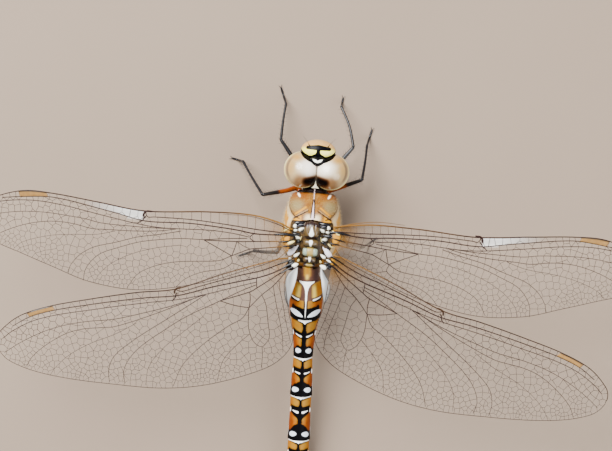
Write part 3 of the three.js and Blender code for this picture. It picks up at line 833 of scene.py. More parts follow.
def makeMembrane(wing):
    t = np.concatenate([np.linspace(0, 0.95, 120), np.linspace(0.955, 1, 24)])
    share = np.unique(np.concatenate([np.linspace(0, 1, 31), [0.09, 0.18, 0.36, 0.65]]))
    lead, trail = chordEnds(wing, t)
    flat = lead[:, None] + (trail - lead)[:, None] * share[None, :, None]
    chord = np.linalg.norm(trail - lead, axis=1)
    height = foldHeight(t[:, None], share[None], chord[:, None])
    out, back = flat.reshape(-1, 2).T
    reach = wingMake["amberReach"]
    spread = 1.5 if "hindwing" in wing["name"] else 2.4
    amber = fading(np.hypot(out * 0.9, np.maximum(back, 0) * spread), 0.5, reach * 0.85)
    milk = np.zeros(len(out))
    # painted reflection: the strip between the leading edge and the radius behind the nodus, where the light
    # glints
    if wing["milk"]:
        inner = splinePoints(wing["veins"]["radius"][2], 0.2)
        edge = np.interp(out, inner[:, 0], inner[:, 1])
        start, end = wing["milk"]
        milk = (smooth(out, start, start + 0.15) * (1 - smooth(out, start + 2.5, end) ** 0.7)
                * (back < edge + 0.02))
    makePiece("membrane_" + wing["name"], *wingSheet(wing, flat, height, wingMake["membrane"] / 2),
              wingFinishes["membrane"], "wing_membrane", wing["name"],
              marks={"amber": np.tile(amber, 2), "milk": np.tile(milk, 2)})


def makeStigma(wing):  # the thickened cell near the tip, between the leading edge and the radius
    first, last = wing["stigma"]
    inner = splinePoints(wing["veins"]["radius"][2], 0.1)
    lead = edgeLine(wing, False)
    rows, columns = 40, 10
    out = np.linspace(first, last, rows)
    front = np.interp(out, lead[:, 0], lead[:, 1])
    rear = np.interp(out, inner[:, 0], inner[:, 1])
    across = np.linspace(0, 1, columns)
    slant = -0.25 * (across - 0.5)
    flat = np.dstack([out[:, None] + slant[None], front[:, None] + (rear - front)[:, None] * across])
    rise = 0.075 * (1 - (2 * across[None] - 1) ** 4) * (1 - np.abs(np.linspace(-1, 1, rows)[:, None]) ** 6)
    placed = onWing(wing, flat.reshape(-1, 2))[0].reshape(rows, columns, 3)
    grown = (0.012 + rise)[..., None] * [0, 0, 1]
    rim = np.maximum(1 - smooth(across, 0.1, 0.35)[None] * np.ones((rows, 1)),
                     0.6 - smooth(np.minimum(out - first, last - out), 0.0, 0.1)[:, None] * np.ones(columns))
    makePiece("spot_" + wing["name"], *sheetSkin(placed + grown, placed - grown), wingFinishes["spot"],
              "wing_membrane", marks={"rim": np.tile(np.maximum(rim, 0).reshape(-1), 2)})


for wing in wings:
    makeMembrane(wing)
    makeVeins(wing)
    makeStigma(wing)
    print("wing made:", wing["name"])

# ---- outlines of markings, as distances in millimetres that are below zero inside ----

def barGap(x, y, start, end, radius, endRadius=None):
    (ax, ay), (bx, by) = start, end
    t = np.clip(((x - ax) * (bx - ax) + (y - ay) * (by - ay)) / ((bx - ax) ** 2 + (by - ay) ** 2), 0, 1)
    thickness = radius + ((endRadius if endRadius is not None else radius) - radius) * t
    return np.hypot(x - ax - t * (bx - ax), y - ay - t * (by - ay)) - thickness


def ovalGap(x, y, centre, radii, lean=0):
    c, s = cosSin(lean)
    dx, dy = x - centre[0], y - centre[1]
    reach = np.hypot((c * dx + s * dy) / radii[0], (c * dy - s * dx) / radii[1])
    return (reach - 1) * min(radii)


def either(*gaps):
    return np.minimum.reduce(gaps)


def both(*gaps):
    return np.maximum.reduce(gaps)


# ---- tail ----

tailMake = {
    "pitch": (14, 4.4), "carina": 0.055,
    # length, then half widths at front, middle and rear, then half heights there
    "segments": [
        (1.4, 1.5, 1.5, 1.65, 1.85, 1.9, 2.05), (5.25, 1.75, 2.16, 2.0, 2.1, 2.25, 2.0),
        (5.3, 1.86, 1.46, 1.26, 1.85, 1.4, 1.2), (5.2, 1.22, 1.35, 1.46, 1.15, 1.22, 1.3),
        (5.9, 1.36, 1.37, 1.48, 1.2, 1.2, 1.3), (5.7, 1.38, 1.44, 1.52, 1.22, 1.25, 1.32),
        (5.1, 1.45, 1.48, 1.55, 1.28, 1.3, 1.35), (4.0, 1.48, 1.5, 1.52, 1.3, 1.3, 1.32),
        (3.0, 1.45, 1.44, 1.36, 1.28, 1.25, 1.2), (1.95, 1.28, 1.18, 1.02, 1.14, 1.05, 0.95),
    ],
    "swelling": 0.7,            # under the second segment
    "rowSpacing": 0.075, "round": 96, "tuck": 0.45,  # how far the front goes into the thorax
    "foldDepth": 0.045, "skin": 0.99,
    "ear": (0.12, 2.35, 1.85),  # bump on each side of the second segment: height, distance, turn
}
# per segment, as shares of its length: rear end of the front panels, outer and inner ends of the pale bars,
# where the orange ends at the middle line and at the sides, the pale ovals
tailMarks = {
    3: (0.335, 0.38, 0.435, 0.665, 0.735, 0.81),
    4: (0.262, 0.36, 0.39, 0.585, 0.71, 0.818),
    5: (0.225, 0.32, 0.35, 0.60, 0.745, 0.85),
    6: (0.21, 0.31, 0.345, 0.595, 0.735, 0.85),
    7: (0.205, 0.305, 0.345, 0.59, 0.72, 0.845),
    8: (0.19, 0.305, 0.35, 0.565, 0.69, 0.82),
}


def tailLine(distance):  # the middle line drops less and less steeply
    length = sum(segment[0] for segment in tailMake["segments"])
    part = (np.arange(24) + 0.5) / 24
    first, last = tailMake["pitch"]
    pitch = np.radians(first + (last - first) * part * (np.asarray(distance)[:, None] / length))
    step = np.asarray(distance)[:, None] / 24
    return (np.cos(pitch) * step).sum(1), -(np.sin(pitch) * step).sum(1), pitch[:, -1]


def pairedMarks(number, a, v, length):  # the third to eighth segments: a across from the middle, v along
    panelEnd, barOut, barIn, zoneMiddle, zoneSide, oval = (share * length for share in tailMarks[number])
    third, later = number == 3, number > 4
    tip = 0.56 if third else 0.38
    ringEdge = np.interp(a, [0, 0.07, 0.16, 0.32, 0.6, 0.9, 2.3],
                         [tip, tip * 0.8, tip * 0.56, 0.24, 0.16, 0.12, 0.11])
    ring = both(v - ringEdge, -0.05 - v, a - (0.66 if third else 2.3))
    hugWidth = np.interp(a, [0, 0.15, 0.3, 0.6, 1.1, 1.6], [0.3, 0.3, 0.2, 0.1, 0.06, 0.0])
    hug = both(v - ringEdge - hugWidth, a - 1.7)
    middle = a - (0.15 + 0.03 * third) - 0.09 * smooth(v, panelEnd - 0.4, panelEnd)
    barLine = (1.12, barOut), (0.34, barIn)
    panelLine = panelEnd - (0.38 if third else 0.1) * np.maximum(a - 0.3, 0)
    orangeTop = length * np.interp(a, [0.12, 0.4, 0.8, 1.25, 1.5], [0.5, 0.475, 0.44, 0.385, 0.34] if third
                                   else [0.56, 0.475, 0.43, 0.39, 0.36])
    belt = both(panelLine - v, v - orangeTop, a - 1.62)
    bars = barGap(a, v, *barLine, 0.05, 0.11 + 0.05 * later)
    bars = both(bars, 0.17 - a)
    around = barGap(a, v, *barLine, 0.2, 0.3)
    zoneLine = np.interp(a, [0.14, 0.4, 0.75, 1.05, 1.4], [zoneMiddle, zoneMiddle + 0.16, zoneMiddle
                         + (0.05 if third else 0.36), zoneSide - 0.18, zoneSide + 0.2])
    zone = both(zoneLine - v, a - 2.1)
    black = either(middle, hug, belt, around, zone)
    ovals = ovalGap(a, v, (0.78 + 0.12 * (not third), oval), (0.5 + 0.09 * (not third), 0.33), 8)
    sideSpot = ovalGap(a, v, (1.78, barOut - 0.02), (0.2, 0.32))
    lowSpot = ovalGap(a, v, (2.3, oval - 0.3), (0.25, 0.8))
    pale = either(ring, bars, ovals, sideSpot, lowSpot)
    rear = smooth(v, orangeTop - 0.1, orangeTop + 0.1)
    tone = 0.43 + 0.12 * smooth(a, 0.8, 1.5) + rear * (0.02 + 0.38 * smooth(a, 0.4, 1.15)
                                                       + 0.14 * smooth(v, barIn + 0.8, zoneMiddle))
    return black, pale, (v > oval - 0.7) * 1.0, tone, 0 * v


def teeMarks(a, v):  # the second segment
    halfStem = np.interp(v, [0, 0.15, 0.3, 0.42, 0.6, 0.9, 1.2, 1.8, 2.4, 2.7, 3.0, 4.0, 4.6, 4.9],
                         [1.4, 1.2, 0.76, 0.55, 0.4, 0.25, 0.165, 0.1, 0.1, 0.06, 0.045, 0.045, 0.035, 0])
    tee = both(a - halfStem, v - 4.9, -0.05 - v)
    bars = barGap(a, v, (2.5, 2.24), (0.98, 2.44), 0.04, 0.135)
    lowEdge = np.interp(a, [0.3, 0.8, 1.2, 1.7, 2.3, 2.7], [4.78, 4.76, 4.72, 4.62, 4.42, 4.25])
    highEdge = np.interp(a, [0.3, 0.5, 0.8, 1.2, 1.7, 2.3, 2.7], [4.68, 4.38, 4.12, 3.94, 3.86, 3.9, 4.05])
    spots = both(v - lowEdge, highEdge - v, 0.28 - a, a - 2.7)
    underBar = barGap(a, v, (2.4, 2.5), (0.95, 2.66), 0.17, 0.07)
    bandTop = np.interp(a, [0.12, 0.5, 1.0, 1.5, 1.9, 2.15, 2.4], [3.62, 3.54, 3.44, 3.36, 3.2, 3.36, 4.2])
    band = both(bandTop - v, a - 2.95)
    stemEdge = both(a - halfStem - 0.1, 2.6 - v)
    black = either(underBar, band, stemEdge, both(v - 0.03, a - 2.3))
    golden = smooth(a, halfStem + 0.2, halfStem + 0.5) * smooth(a, 0.62, 0.86) * smooth(v, 0.1, 0.35)
    golden = golden * fading(v + 0.1 * a, 2.14, 2.3)
    orange = smooth(v, 2.4, 2.7) * (1 - golden) * smooth(a, 0.12, 0.4)
    tone = 0.07 + 0.31 * golden + 0.17 * golden * smooth(a, 1.35, 1.95) \
        + orange * (0.42 + 0.42 * smooth(a, 0.7, 1.6))
    # a painted highlight on the glossy golden panels
    paintedShine = golden * hump(a, 1.15, 0.34) * smooth(v, 0.25, 1.0)
    return black, either(tee, bars, spots), (v > 3.4) * (a > 0.25) * 1.0, tone, paintedShine


def rearMarks(number, a, v, length):  # the ninth and tenth
    edge = 0.28 * length if number == 9 else 0.2 * length
    black = either(edge - v, a - 0.16)
    pale = ovalGap(a, v, (0.75, 0.72 * length), (0.42, 0.27 if number == 9 else 0.3), 10)
    pale = either(pale, ovalGap(a, v, (1.9, 0.5 * length), (0.35, 0.5)))
    return black, pale, np.ones(a.shape), np.full(a.shape, 0.62), 0 * v


def frontMarks(a, v):  # the first
    pale = ovalGap(a, v, (2.7, 0.9), (0.3, 0.4))
    # a painted highlight along the middle of the first segment
    paintedGleam = hump(a, 0, 0.2) * smooth(v, 0.3, 0.6) * fading(v, 0.9, 1.25)
    tone = 0.05 + 0.42 * hump(a, 0, 0.5) * fading(v, 0.5, 1.0) + 0.1 * paintedGleam
    return both(v + 0.2, 0.75 - a), pale, np.zeros(a.shape), tone, 0.6 * paintedGleam


def tailFinish():
    make = finishMaker("tailShell", roughness=0.45, specularIorLevel=0.1)
    cloud = make.noise(1.1, 4)
    fine = make.noise(7, 3)
    tone = make.maths("ADD", make.attribute("tone"), make.swing(cloud, 0.26))
    ramp = make.tree.nodes.new("ShaderNodeValToRGB")
    feed(make.tree, ramp.inputs[0], tone)
    stops = [(0.0, (62, 42, 42)), (0.16, (96, 64, 44)), (0.38, (150, 110, 30)), (0.54, (146, 90, 3)),
             (0.76, (146, 76, 0)), (1.0, (116, 50, 0))]
    ramp.color_ramp.elements[0].color = colour(*stops[0][1])
    ramp.color_ramp.elements[1].position = 1
    ramp.color_ramp.elements[1].color = colour(*stops[-1][1])
    for place, tint in stops[1:-1]:
        ramp.color_ramp.elements.new(place).color = colour(*tint)
    wobble, drift = make.swing(fine, 0.07), make.swing(make.noise(2.4, 2), 0.16)
    softEdge = 0.035
    blackGap = make.maths("ADD", make.attribute("black"), make.maths("ADD", wobble, drift))
    isBlack = make.band(blackGap, softEdge, -softEdge)
    paleGap = make.maths("ADD", make.attribute("pale"), make.maths("MULTIPLY", wobble, 0.5))
    isPale = make.band(paleGap, softEdge, -softEdge)
    white = make.mix(cloud, (250, 248, 242), (255, 254, 251))
    bluish = make.mix(cloud, (200, 226, 240), (244, 236, 244))
    black = make.mix(fine, (2, 2, 3), (10, 8, 10))
    # painted highlight: paintedShine lightens the ground towards pale gold
    ground = make.mix(make.attribute("paintedShine"), ramp.outputs["Color"], (214, 184, 86))
    nearBlack = make.maths("MULTIPLY", make.band(blackGap, 0.24, 0.0), 0.6)
    ground = make.mix(nearBlack, ground, make.mix(0.72, ground, (40, 14, 4)))
    skin = make.mix(isBlack, ground, black)
    make.set(baseColor=make.mix(isPale, skin, make.mix(make.attribute("blue"), white, bluish)))
    make.set(specularIorLevel=make.band(isBlack, 0, 1, 0.1, 0.03))
    rings = make.noise(3, 2, place=make.stretched((1, 4, 1)))
    relief = make.bump(rings, 0.012, 0.35)
    make.set(normal=make.bump(make.cells(7), 0.005, 0.35, relief))
    make.set(roughness=make.band(fine, 0.3, 0.7, 0.38, 0.54))
    return make.material


def makeTail():
    points, marks = [], {"black": [], "pale": [], "blue": [], "tone": [], "paintedShine": []}
    count = tailMake["round"]
    turn = np.arange(count) / count * 2 * math.pi - math.pi  # 0 along the back
    start = 0.0
    for number, (length, *halves) in enumerate(tailMake["segments"], 1):
        rows = int(length / tailMake["rowSpacing"])
        v = np.linspace(-tailMake["tuck"] * (number == 1), length, rows, endpoint=number == 10)
        share = np.maximum(v, 0) / length
        width = curveThrough([0, 0.5, 1], halves[:3], share)
        height = curveThrough([0, 0.5, 1], halves[3:], share)
        fold = (tailMake["skin"] - tailMake["foldDepth"] * hump(v, 0, 0.16) * (number > 1)
                - 0.02 * hump(v, length, 0.07))
        hang = tailMake["swelling"] * np.sin(math.pi * v / length) ** 2 * (number == 2)
        y, z, pitch = tailLine(start + v)
        reach = 1 + tailMake["carina"] * np.cos(3 * turn)
        out = (width * fold)[:, None] * reach * np.sin(turn)
        over = (height * fold)[:, None] * reach * np.cos(turn)
        over = over - hang[:, None] * np.maximum(0, -np.cos(turn)) ** 3
        # a lengthwise groove where the back plate folds under, and a fine ridge along the back
        groove = 0.035 * hump(np.abs(turn), 2.2, 0.06) - 0.02 * hump(turn, 0, 0.045)
        if number == 2:
            rise, place, side = tailMake["ear"]
            groove = groove - rise * np.exp(-((v[:, None] - place) / 0.42) ** 2
                                            - ((np.abs(turn) - side) / 0.16) ** 2) / 2
        out = out * (1 - groove)
        over = over * (1 - groove)
        lean = pitch[:, None]
        points.append(np.stack([out, y[:, None] + over * np.sin(lean), z[:, None] + over * np.cos(lean)], -1))
        a = np.abs(turn)[None] * (width.mean() if number < 3 else 1.3) * np.ones((rows, 1))
        along = v[:, None] * np.ones(count)
        if number == 1:
            found = frontMarks(a, along)
        elif number == 2:
            found = teeMarks(a, along)
        elif number < 9:
            found = pairedMarks(number, a, along, length)
        else:
            found = rearMarks(number, a, along, length)
        black, pale, blue, tone, paintedShine = found
        under = smooth(np.abs(turn), 2.15, 2.3)  # the belly plates
        black = black * (1 - under) + under * 0.4
        black = np.minimum(black, np.abs(np.abs(turn)[None] - 2.2) * 1.3 - 0.05)
        below = math.pi - np.abs(turn)
        black = np.minimum(black, np.where(np.abs(turn) > 2.2, 0.15 + below, 9)[None])
        pale = np.where(under > 0, np.maximum(pale, under * 0.3), pale)
        tone = tone * (1 - under) + 0.2 * under
        for key, value in zip(marks, (black, pale, blue, tone, paintedShine)):
            marks[key].append(np.broadcast_to(value, along.shape))
        start += length
    skinPoints, faces = closedSkin(keptAbove(np.concatenate(points), -stance["tailStart"][2]))
    makePiece("tail", inTail(skinPoints), faces, tailFinish(), "banded_shell",
              *[f"abdomen_segment_{i}" for i in range(1, 11)],
              marks={key: capped(np.concatenate(values).reshape(-1)) for key, values in marks.items()})


# the upper pair and the lower one at the tail's end
tailTip = {
    "cercus": 4.6, "cercusPath": [(0.42, 0, 0.3), (0.62, 0.35, 0.35), (1.25, 0.75, 0.3), (1.05, 1, 0.2)],
    "cercusWidth": (0.26, 0.38, 0.7, 0.6, 0.2), "cercusThickness": 0.24,
    "lower": 2.3, "lowerWidth": (0.6, 0.48, 0.24), "lowerThickness": 0.22,
}


def tipFinish():
    make = finishMaker("tailTip", roughness=0.36, coatWeight=0.2, coatRoughness=0.25)
    make.set(baseColor=make.mix(make.noise(2, 4), (10, 7, 6), (32, 20, 14)))
    make.grain(14, 3, 0.03, 0.4)
    return make.material


def tipPiece(name, rings, gap, finish, replaced):  # at least a small gap above the floor
    points, faces = closedSkin(keptAbove(rings, gap - stance["tailStart"][2]))
    makePiece(name, inTail(points), faces, finish, "tail_tip", replaced)


def makeTailTip():
    finish = tipFinish()
    y, z, pitch = (value[0] for value in tailLine(np.array([sum(s[0] for s in tailMake["segments"])])))

    def behind(x, back, rise):
        return (x, y + 0.06 + back, z + rise - back * math.sin(pitch))

    for side, sign in sideSigns.items():
        path = [behind(x * sign, share * tailTip["cercus"], rise) for x, share, rise in tailTip["cercusPath"]]
        flat = tailTip["cercusThickness"] / max(tailTip["cercusWidth"])
        rings = limbRings(path, tailTip["cercusWidth"], 60, 24, flat)
        ridge = hump(np.arange(24), 5.5, 2.2)[None, :, None] * [0, 0, 0.08]
        tipPiece("cercus_blade_" + side, rings + ridge, 0.005, finish, "cercus_" + side)
    path = [behind(0, share * tailTip["lower"], -0.42) for share in (0, 0.5, 1)]
    rings = limbRings(path, tailTip["lowerWidth"], 30, 20, tailTip["lowerThickness"] / 0.62)
    tipPiece("lower_flap", rings, 0.003, finish, "lower_appendage")


makeTail()
makeTailTip()
print("tail made")

# ---- head ----

headMake = {
    "eye": ((1.78, 0, 0), (2.48, 2.38, 2.85), -10),
    "frons": ((0, -2.6, 0.55), (2.24, 1.42, 1.68)),
    "vertex": ((0, -1.19, 1.78), (1.1, 0.68, 0.85)),
    "clypeus": ((0, -2.5, -1.15), (1.95, 1.08, 0.8)),
    "labrum": ((0, -2.3, -2.35), (1.52, 0.83, 0.68)),
    "labium": ((0, -0.75, -2.85), (1.72, 1.32, 0.58)),
    "mandible": ((1.75, -1.75, -2.25), (0.63, 0.83, 0.93)),
    "capsule": ((0, 0.85, -0.6), (3.6, 1.66, 2.2)),
    "seam": 0.02,
}


def vEdge(x):  # rear edge of the black round the forehead, seen from above
    return np.interp(np.abs(x), [0, 0.3, 0.6, 0.85, 1.15, 1.7, 2.0, 2.25, 2.45, 3],
                     [-0.7, -0.72, -0.8, -0.97, -1.07, -1.4, -1.68, -2.08, -2.5, -4])


def headPiece(name, rings, finish, slot, *replaced, marks=()):
    points, faces = closedSkin(rings)
    found = {key: values(*points.T) for key, values in dict(marks).items()}
    makePiece(name, inHead(points), faces, finish, slot, *replaced, marks=found)


def eyeFinish():
    make = finishMaker("eye", roughness=0.2, coatWeight=0.3, coatRoughness=0.12, subsurfaceWeight=0.06,
                       subsurfaceScale=0.0004, specularIorLevel=0.35)
    cloud = make.noise(0.8, 3)
    fine = make.noise(5, 3)
    tan = make.mix(cloud, (158, 133, 93), (185, 161, 118))
    rear, isBlack = make.attribute("rear"), make.band(make.attribute("black"), 0.05, -0.05)
    # sheen is a painted highlight: the soft whitish reflection of the light on each eye
    tint = make.paint(tan, sheen=(244, 233, 220), golden=(168, 124, 50), warm=(104, 62, 28))
    tint = make.mix(make.band(rear, -0.1, 0.42), tint, (78, 42, 20))
    tint = make.mix(make.band(rear, 0.0, 0.58), tint, (5, 3, 3))
    dull = make.maths("MAXIMUM", make.band(rear, -0.1, 0.3), isBlack)
    make.set(specularIorLevel=make.band(dull, 0, 1, 0.35, 0.03), coatWeight=make.band(dull, 0, 1, 0.3, 0))
    tint = make.mix(make.maths("MULTIPLY", make.attribute("shade"), 0.8), tint, (92, 74, 58))
    tint = make.paint(tint, rim=make.mix(fine, (216, 198, 124), (240, 226, 166)))
    make.set(baseColor=make.mix(isBlack, tint, (4, 3, 4)))
    facets = make.cells(24)
    make.set(normal=make.bump(facets, 0.006, 0.35))
    make.set(roughness=make.band(fine, 0.3, 0.7, 0.17, 0.26))
    return make.material


def eyeMarks(sign):
    def rear(x, y, z):
        return np.where(z > -0.5, 0.5 - barGap(x * sign, y, (0, 1.4), (1.22, 1.56), 0.42, 0.22), -0.5)

    def warm(x, y, z):
        near = fading(barGap(x * sign, y, (0.5, 1.66), (2.0, 1.66), 0.3, 0.4), 0, 1.05)
        return near * 0.8 * (z > -0.5)

    # a painted highlight: the soft whitish reflection of the light high on each eye, near the middle
    def sheen(x, y, z):
        return fading(np.hypot((x * sign - 0.95) / 1.9, (y + 0.35) / 1.65), 0, 1.15) * (z > 0)

    def golden(x, y, z):
        front = fading(np.hypot((x * sign - 2.75) / 1.45, (y + 1.5) / 0.75), 0, 1.15) * 0.95
        outer = fading(np.hypot((x * sign - 3.45) / 0.95, (y + 0.4) / 2.1), 0.1, 1.1) * 0.6
        return np.maximum(front, outer)

    def shade(x, y, z):
        side = fading(np.abs(np.hypot((x * sign - 1.2) / 2.62, y / 2.35) - 1), 0.02, 0.09)
        side = side * smooth(x * sign, 2.6, 3.3) * fading(np.abs(y + 0.1), 0.8, 1.8)
        return np.maximum(side, fading(np.abs(x), 0.04, 0.2) * 0.8) * (z > 0)

    def rim(x, y, z):
        level = 0.25 * smooth(np.abs(x), 2.5, 3.6) - 0.8 * fading(np.abs(x), 0.3, 0.6) * (y > 0)
        return fading(z - 0.1 * y - level, 0.5, 0.95)

    def black(x, y, z):
        return both(y - vEdge(x), -z)
    return {"rear": rear, "warm": warm, "sheen": sheen, "golden": golden, "shade": shade, "rim": rim,
            "black": black}


def foreheadMarks():
    def black(x, y, z):
        a = np.abs(x)
        bar = barGap(a, y, (0, -2.93), (1.4, -2.86), 0.37, 0.23)
        stem = both(a - np.interp(y, [-2.8, -2.35, -2.1, -1.9], [0.28, 0.24, 0.36, 0.8]), -y - 3.0)
        crescent = np.interp(a, [0, 0.3, 0.45, 0.64, 1.0, 1.2, 1.55, 1.75, 2.0, 2.15, 2.4],
                             [-2.3, -2.1, -1.99, -1.86, -1.85, -1.87, -2.04, -2.15, -2.38, -2.58, -3.03]) - y
        line = either(bar, stem, crescent)
        return np.where(z > 0.2, line, np.maximum(line, 0.2 - z))

    def yellow(x, y, z):
        return smooth(y - 0.18 * np.abs(x), -3.45, -2.85) * smooth(z, 0.4, 0.9)
    return {"black": black, "yellow": yellow}


def crownMarks():
    def pale(x, y, z):
        a = np.abs(x)
        smile = both(np.interp(a, [0, 0.1, 0.2, 0.45, 0.64], [-1.2, -1.27, -1.34, -1.41, -1.44]) - y,
                     y - np.interp(a, [0, 0.25, 0.45, 0.6, 0.68], [-0.95, -1.0, -1.13, -1.3, -1.47]))
        return np.where(z > 1.4, smile, 0.5)
    return {"black": lambda x, y, z: np.full(x.shape, -0.5), "pale": pale}


def faceFinish(name, base, otherBase, usesYellow=False, usesPale=False, usesBlack=True):
    make = finishMaker(name, roughness=0.3, coatWeight=0.15, coatRoughness=0.15, specularIorLevel=0.4)
    cloud, fine = make.noise(1.2, 3), make.noise(8, 3)
    tint = make.mix(cloud, base, otherBase)
    if usesYellow:
        tint = make.mix(make.attribute("yellow"), tint, make.mix(cloud, (255, 240, 66), (255, 247, 136)))
    if usesBlack:
        edge = make.maths("ADD", make.attribute("black"), make.swing(fine, 0.06))
        isBlack = make.band(edge, 0.04, -0.04)
        tint = make.mix(isBlack, tint, make.mix(fine, (2, 2, 4), (9, 9, 13)))
        make.set(specularIorLevel=make.band(isBlack, 0, 1, 0.4, 0.08),
                 coatWeight=make.band(isBlack, 0, 1, 0.15, 0))
    if usesPale:
        tint = make.mix(make.band(make.attribute("pale"), 0.04, -0.04), tint, (255, 253, 240))
    make.set(baseColor=tint)
    make.grain(18, 3, 0.02, 0.4)
    return make.material


def makeOcciput(finish):  # the small pale triangle between the rear ends of the eyes
    rows, columns = 18, 24
    rings = []
    for t in np.linspace(0, 1, rows):
        y = 1.33 + 0.96 * t
        half = 0.035 + 0.49 * t ** 2.2
        top = 1.8 - 0.85 * ((y - 0.95) / 1.42) ** 1.2
        turn = np.arange(columns) / columns * 2 * math.pi
        x = half * np.cos(turn)
        z = top - 0.5 + 0.5 * np.sign(np.sin(turn)) * np.abs(np.sin(turn)) ** 0.8 * (1 if t < 0.98 else 0.9)
        rings.append(np.stack([x, np.full(columns, y), z], -1))
    headPiece("occiput_triangle", np.array(rings), finish, "face")


def makeFeelers(finish):
    for side, sign in sideSigns.items():
        base, bend, tip = (np.array([x * sign, y, z]) for x, y, z in
                           [(1.12, -2.95, 1.75), (1.45, -3.5, 2.35), (2.1, -4.25, 2.8)])

        def thickness(t):
            return np.interp(t, [0, 0.05, 0.12, 0.16, 0.3, 0.33, 1],
                             [0.11, 0.12, 0.1, 0.08, 0.06, 0.025, 0.01])

        rings = limbRings([base, bend, tip], thickness, 60, 10)
        headPiece("feeler_" + side, rings, finish, "feeler", "antenna_" + side)


def makeHead():
    centre, radii, lean = headMake["eye"]
    eye = eyeFinish()
    for side, sign in sideSigns.items():
        rings = ballRings((centre[0] * sign, *centre[1:]), radii, lean, 90, 128)
        rings[..., 0] = sign * np.maximum(rings[..., 0] * sign, headMake["seam"])
        headPiece("eye_ball_" + side, rings, eye, "eye", "eye_" + side, marks=eyeMarks(sign))
    forehead = faceFinish("forehead", (176, 124, 66), (206, 164, 96), usesYellow=True)
    crown = faceFinish("crown", (3, 3, 4), (6, 6, 7), usesPale=True)
    face = faceFinish("lowerFace", (158, 130, 55), (180, 156, 84), usesBlack=False)
    jaw = faceFinish("jaw", (106, 72, 31), (131, 95, 45), usesBlack=False)
    rear = faceFinish("headRear", (4, 3, 3), (14, 8, 6), usesBlack=False)
    cream = faceFinish("occiputCream", (240, 232, 190), (250, 246, 216), usesBlack=False)
    feeler = faceFinish("feeler", (44, 33, 24), (22, 16, 12), usesBlack=False)
    for name, node, rows, columns, finish, slot, marks in (
            ("forehead", "frons", 90, 110, forehead, "face", foreheadMarks()),
            ("crown", "vertex", 50, 60, crown, "face", crownMarks()),
            ("nose", "clypeus", 40, 60, face, "face", ()), ("upper_lip", "labrum", 30, 40, face, "face", ()),
            ("lower_lip", "labium", 30, 40, jaw, "jaw", ())):
        headPiece(name, ballRings(*headMake[node], 0, rows, columns), finish, slot, node, marks=marks)
    (x, y, z), size = headMake["mandible"]
    for side, sign in sideSigns.items():
        headPiece("jaw_" + side, ballRings((x * sign, y, z), size, 0, 24, 32), jaw, "jaw", "mandible_" + side)
    headPiece("head_capsule", ballRings(*headMake["capsule"], 0, 60, 80), rear, "head_shell", "head")
    makeOcciput(cream)
    makeFeelers(feeler)


makeHead()
print("head made")

# ---- legs ----

# hip, trochanter, knee, ankle, and where the foot ends on the floor
legJoints = {
    "front_left": [(0.1, -6.3, 4.4), (0.05, -7.3, 3.7), (3.92, -13.1, 3.6), (3.27, -17.9, 1.3),
                   (4.07, -20.5)],
    "front_right": [(-1, -6.3, 4.4), (-1.1, -7.2, 3.7), (-5.57, -12.1, 3.8), (-4.02, -17.5, 1.5),
                    (-4.35, -19.1)],
    "middle_left": [(0.9, -5.3, 3.8), (1.7, -6.7, 3.2), (6.29, -5.87, 5.4), (8.91, -10.3, 1.7),
                    (10.8, -10.9)],
    "middle_right": [(-1.5, -5.2, 3.8), (-2.2, -6.3, 3.2), (-6.66, -7.8, 5.2), (-7.4, -12.4, 1.5),
                     (-8.2, -14.9)],
    "hind_left": [(1.1, -2.6, 3.2), (2.8, -1.5, 2.9), (4.4, 1.6, 7.1), (7.45, 1.47, 2.3), (9.87, 2.22)],
    "hind_right": [(-1.2, -2.6, 3.2), (-3, -1.6, 2.9), (-4.95, 0.7, 7.4), (-6.9, 0.96, 2.3), (-8.88, -0.25)],
}
legMake = {
    "femur": (0.34, 0.36, 0.31, 0.27, 0.21), "tibia": (0.2, 0.185, 0.17, 0.16, 0.18),
    "tarsus": (0.17, 0.15, 0.165, 0.145, 0.15, 0.11), "round": 14, "hindExtra": (0.3, 0.4),
    "spineLength": 0.75, "spineRadius": 0.03, "spinesPerRow": 9, "clawLength": 0.42,
}


def legFinish():
    make = finishMaker("legShell", roughness=0.3, coatWeight=0.12, coatRoughness=0.22, specularIorLevel=0.3)
    fine = make.noise(6, 4)
    black = make.mix(fine, (4, 4, 5), (20, 19, 24))
    orange = make.mix(fine, (100, 38, 3), (138, 64, 7))
    make.set(baseColor=make.mix(make.attribute("orange"), black, orange))
    make.grain(22, 3, 0.02, 0.45)
    return make.material


def spineTree(name, material, sides=5):  # a fine spine on each point, along its "way"
    tree, given = newTree(name, spineLength=0.0008, spineRadius=0.00003, seed=3)
    spine = addNode(tree, "GeometryNodeMeshCone", {
        "Vertices": sides, "Radius Top": 0, "Radius Bottom": given["Spine Radius"],
        "Depth": given["Spine Length"]})["Mesh"]
    way = addNode(tree, "GeometryNodeInputNamedAttribute", {"Name": "way"}, data_type="FLOAT_VECTOR")
    turn = addNode(tree, "FunctionNodeAlignRotationToVector", {"Vector": way["Attribute"]})["Rotation"]
    vary = addNode(tree, "FunctionNodeRandomValue", {2: 0.7, 3: 1.1, "Seed": given["Seed"]})[1]
    scattered = addNode(tree, "GeometryNodeInstanceOnPoints", {
        "Points": given["Geometry"], "Instance": spine, "Rotation": turn, "Scale": vary})["Instances"]
    return closeTree(tree, scattered, material)


def between(a, b, share):
    return tuple(p + (q - p) * share for p, q in zip(a, b))


def legPiece(name, rings, finish, orange, *replaced):
    values = np.repeat(orange(np.linspace(0, 1, len(rings))), rings.shape[1])
    makePiece(name, *closedSkin(rings), finish, "leg_shell", *replaced, marks={"orange": capped(values)})


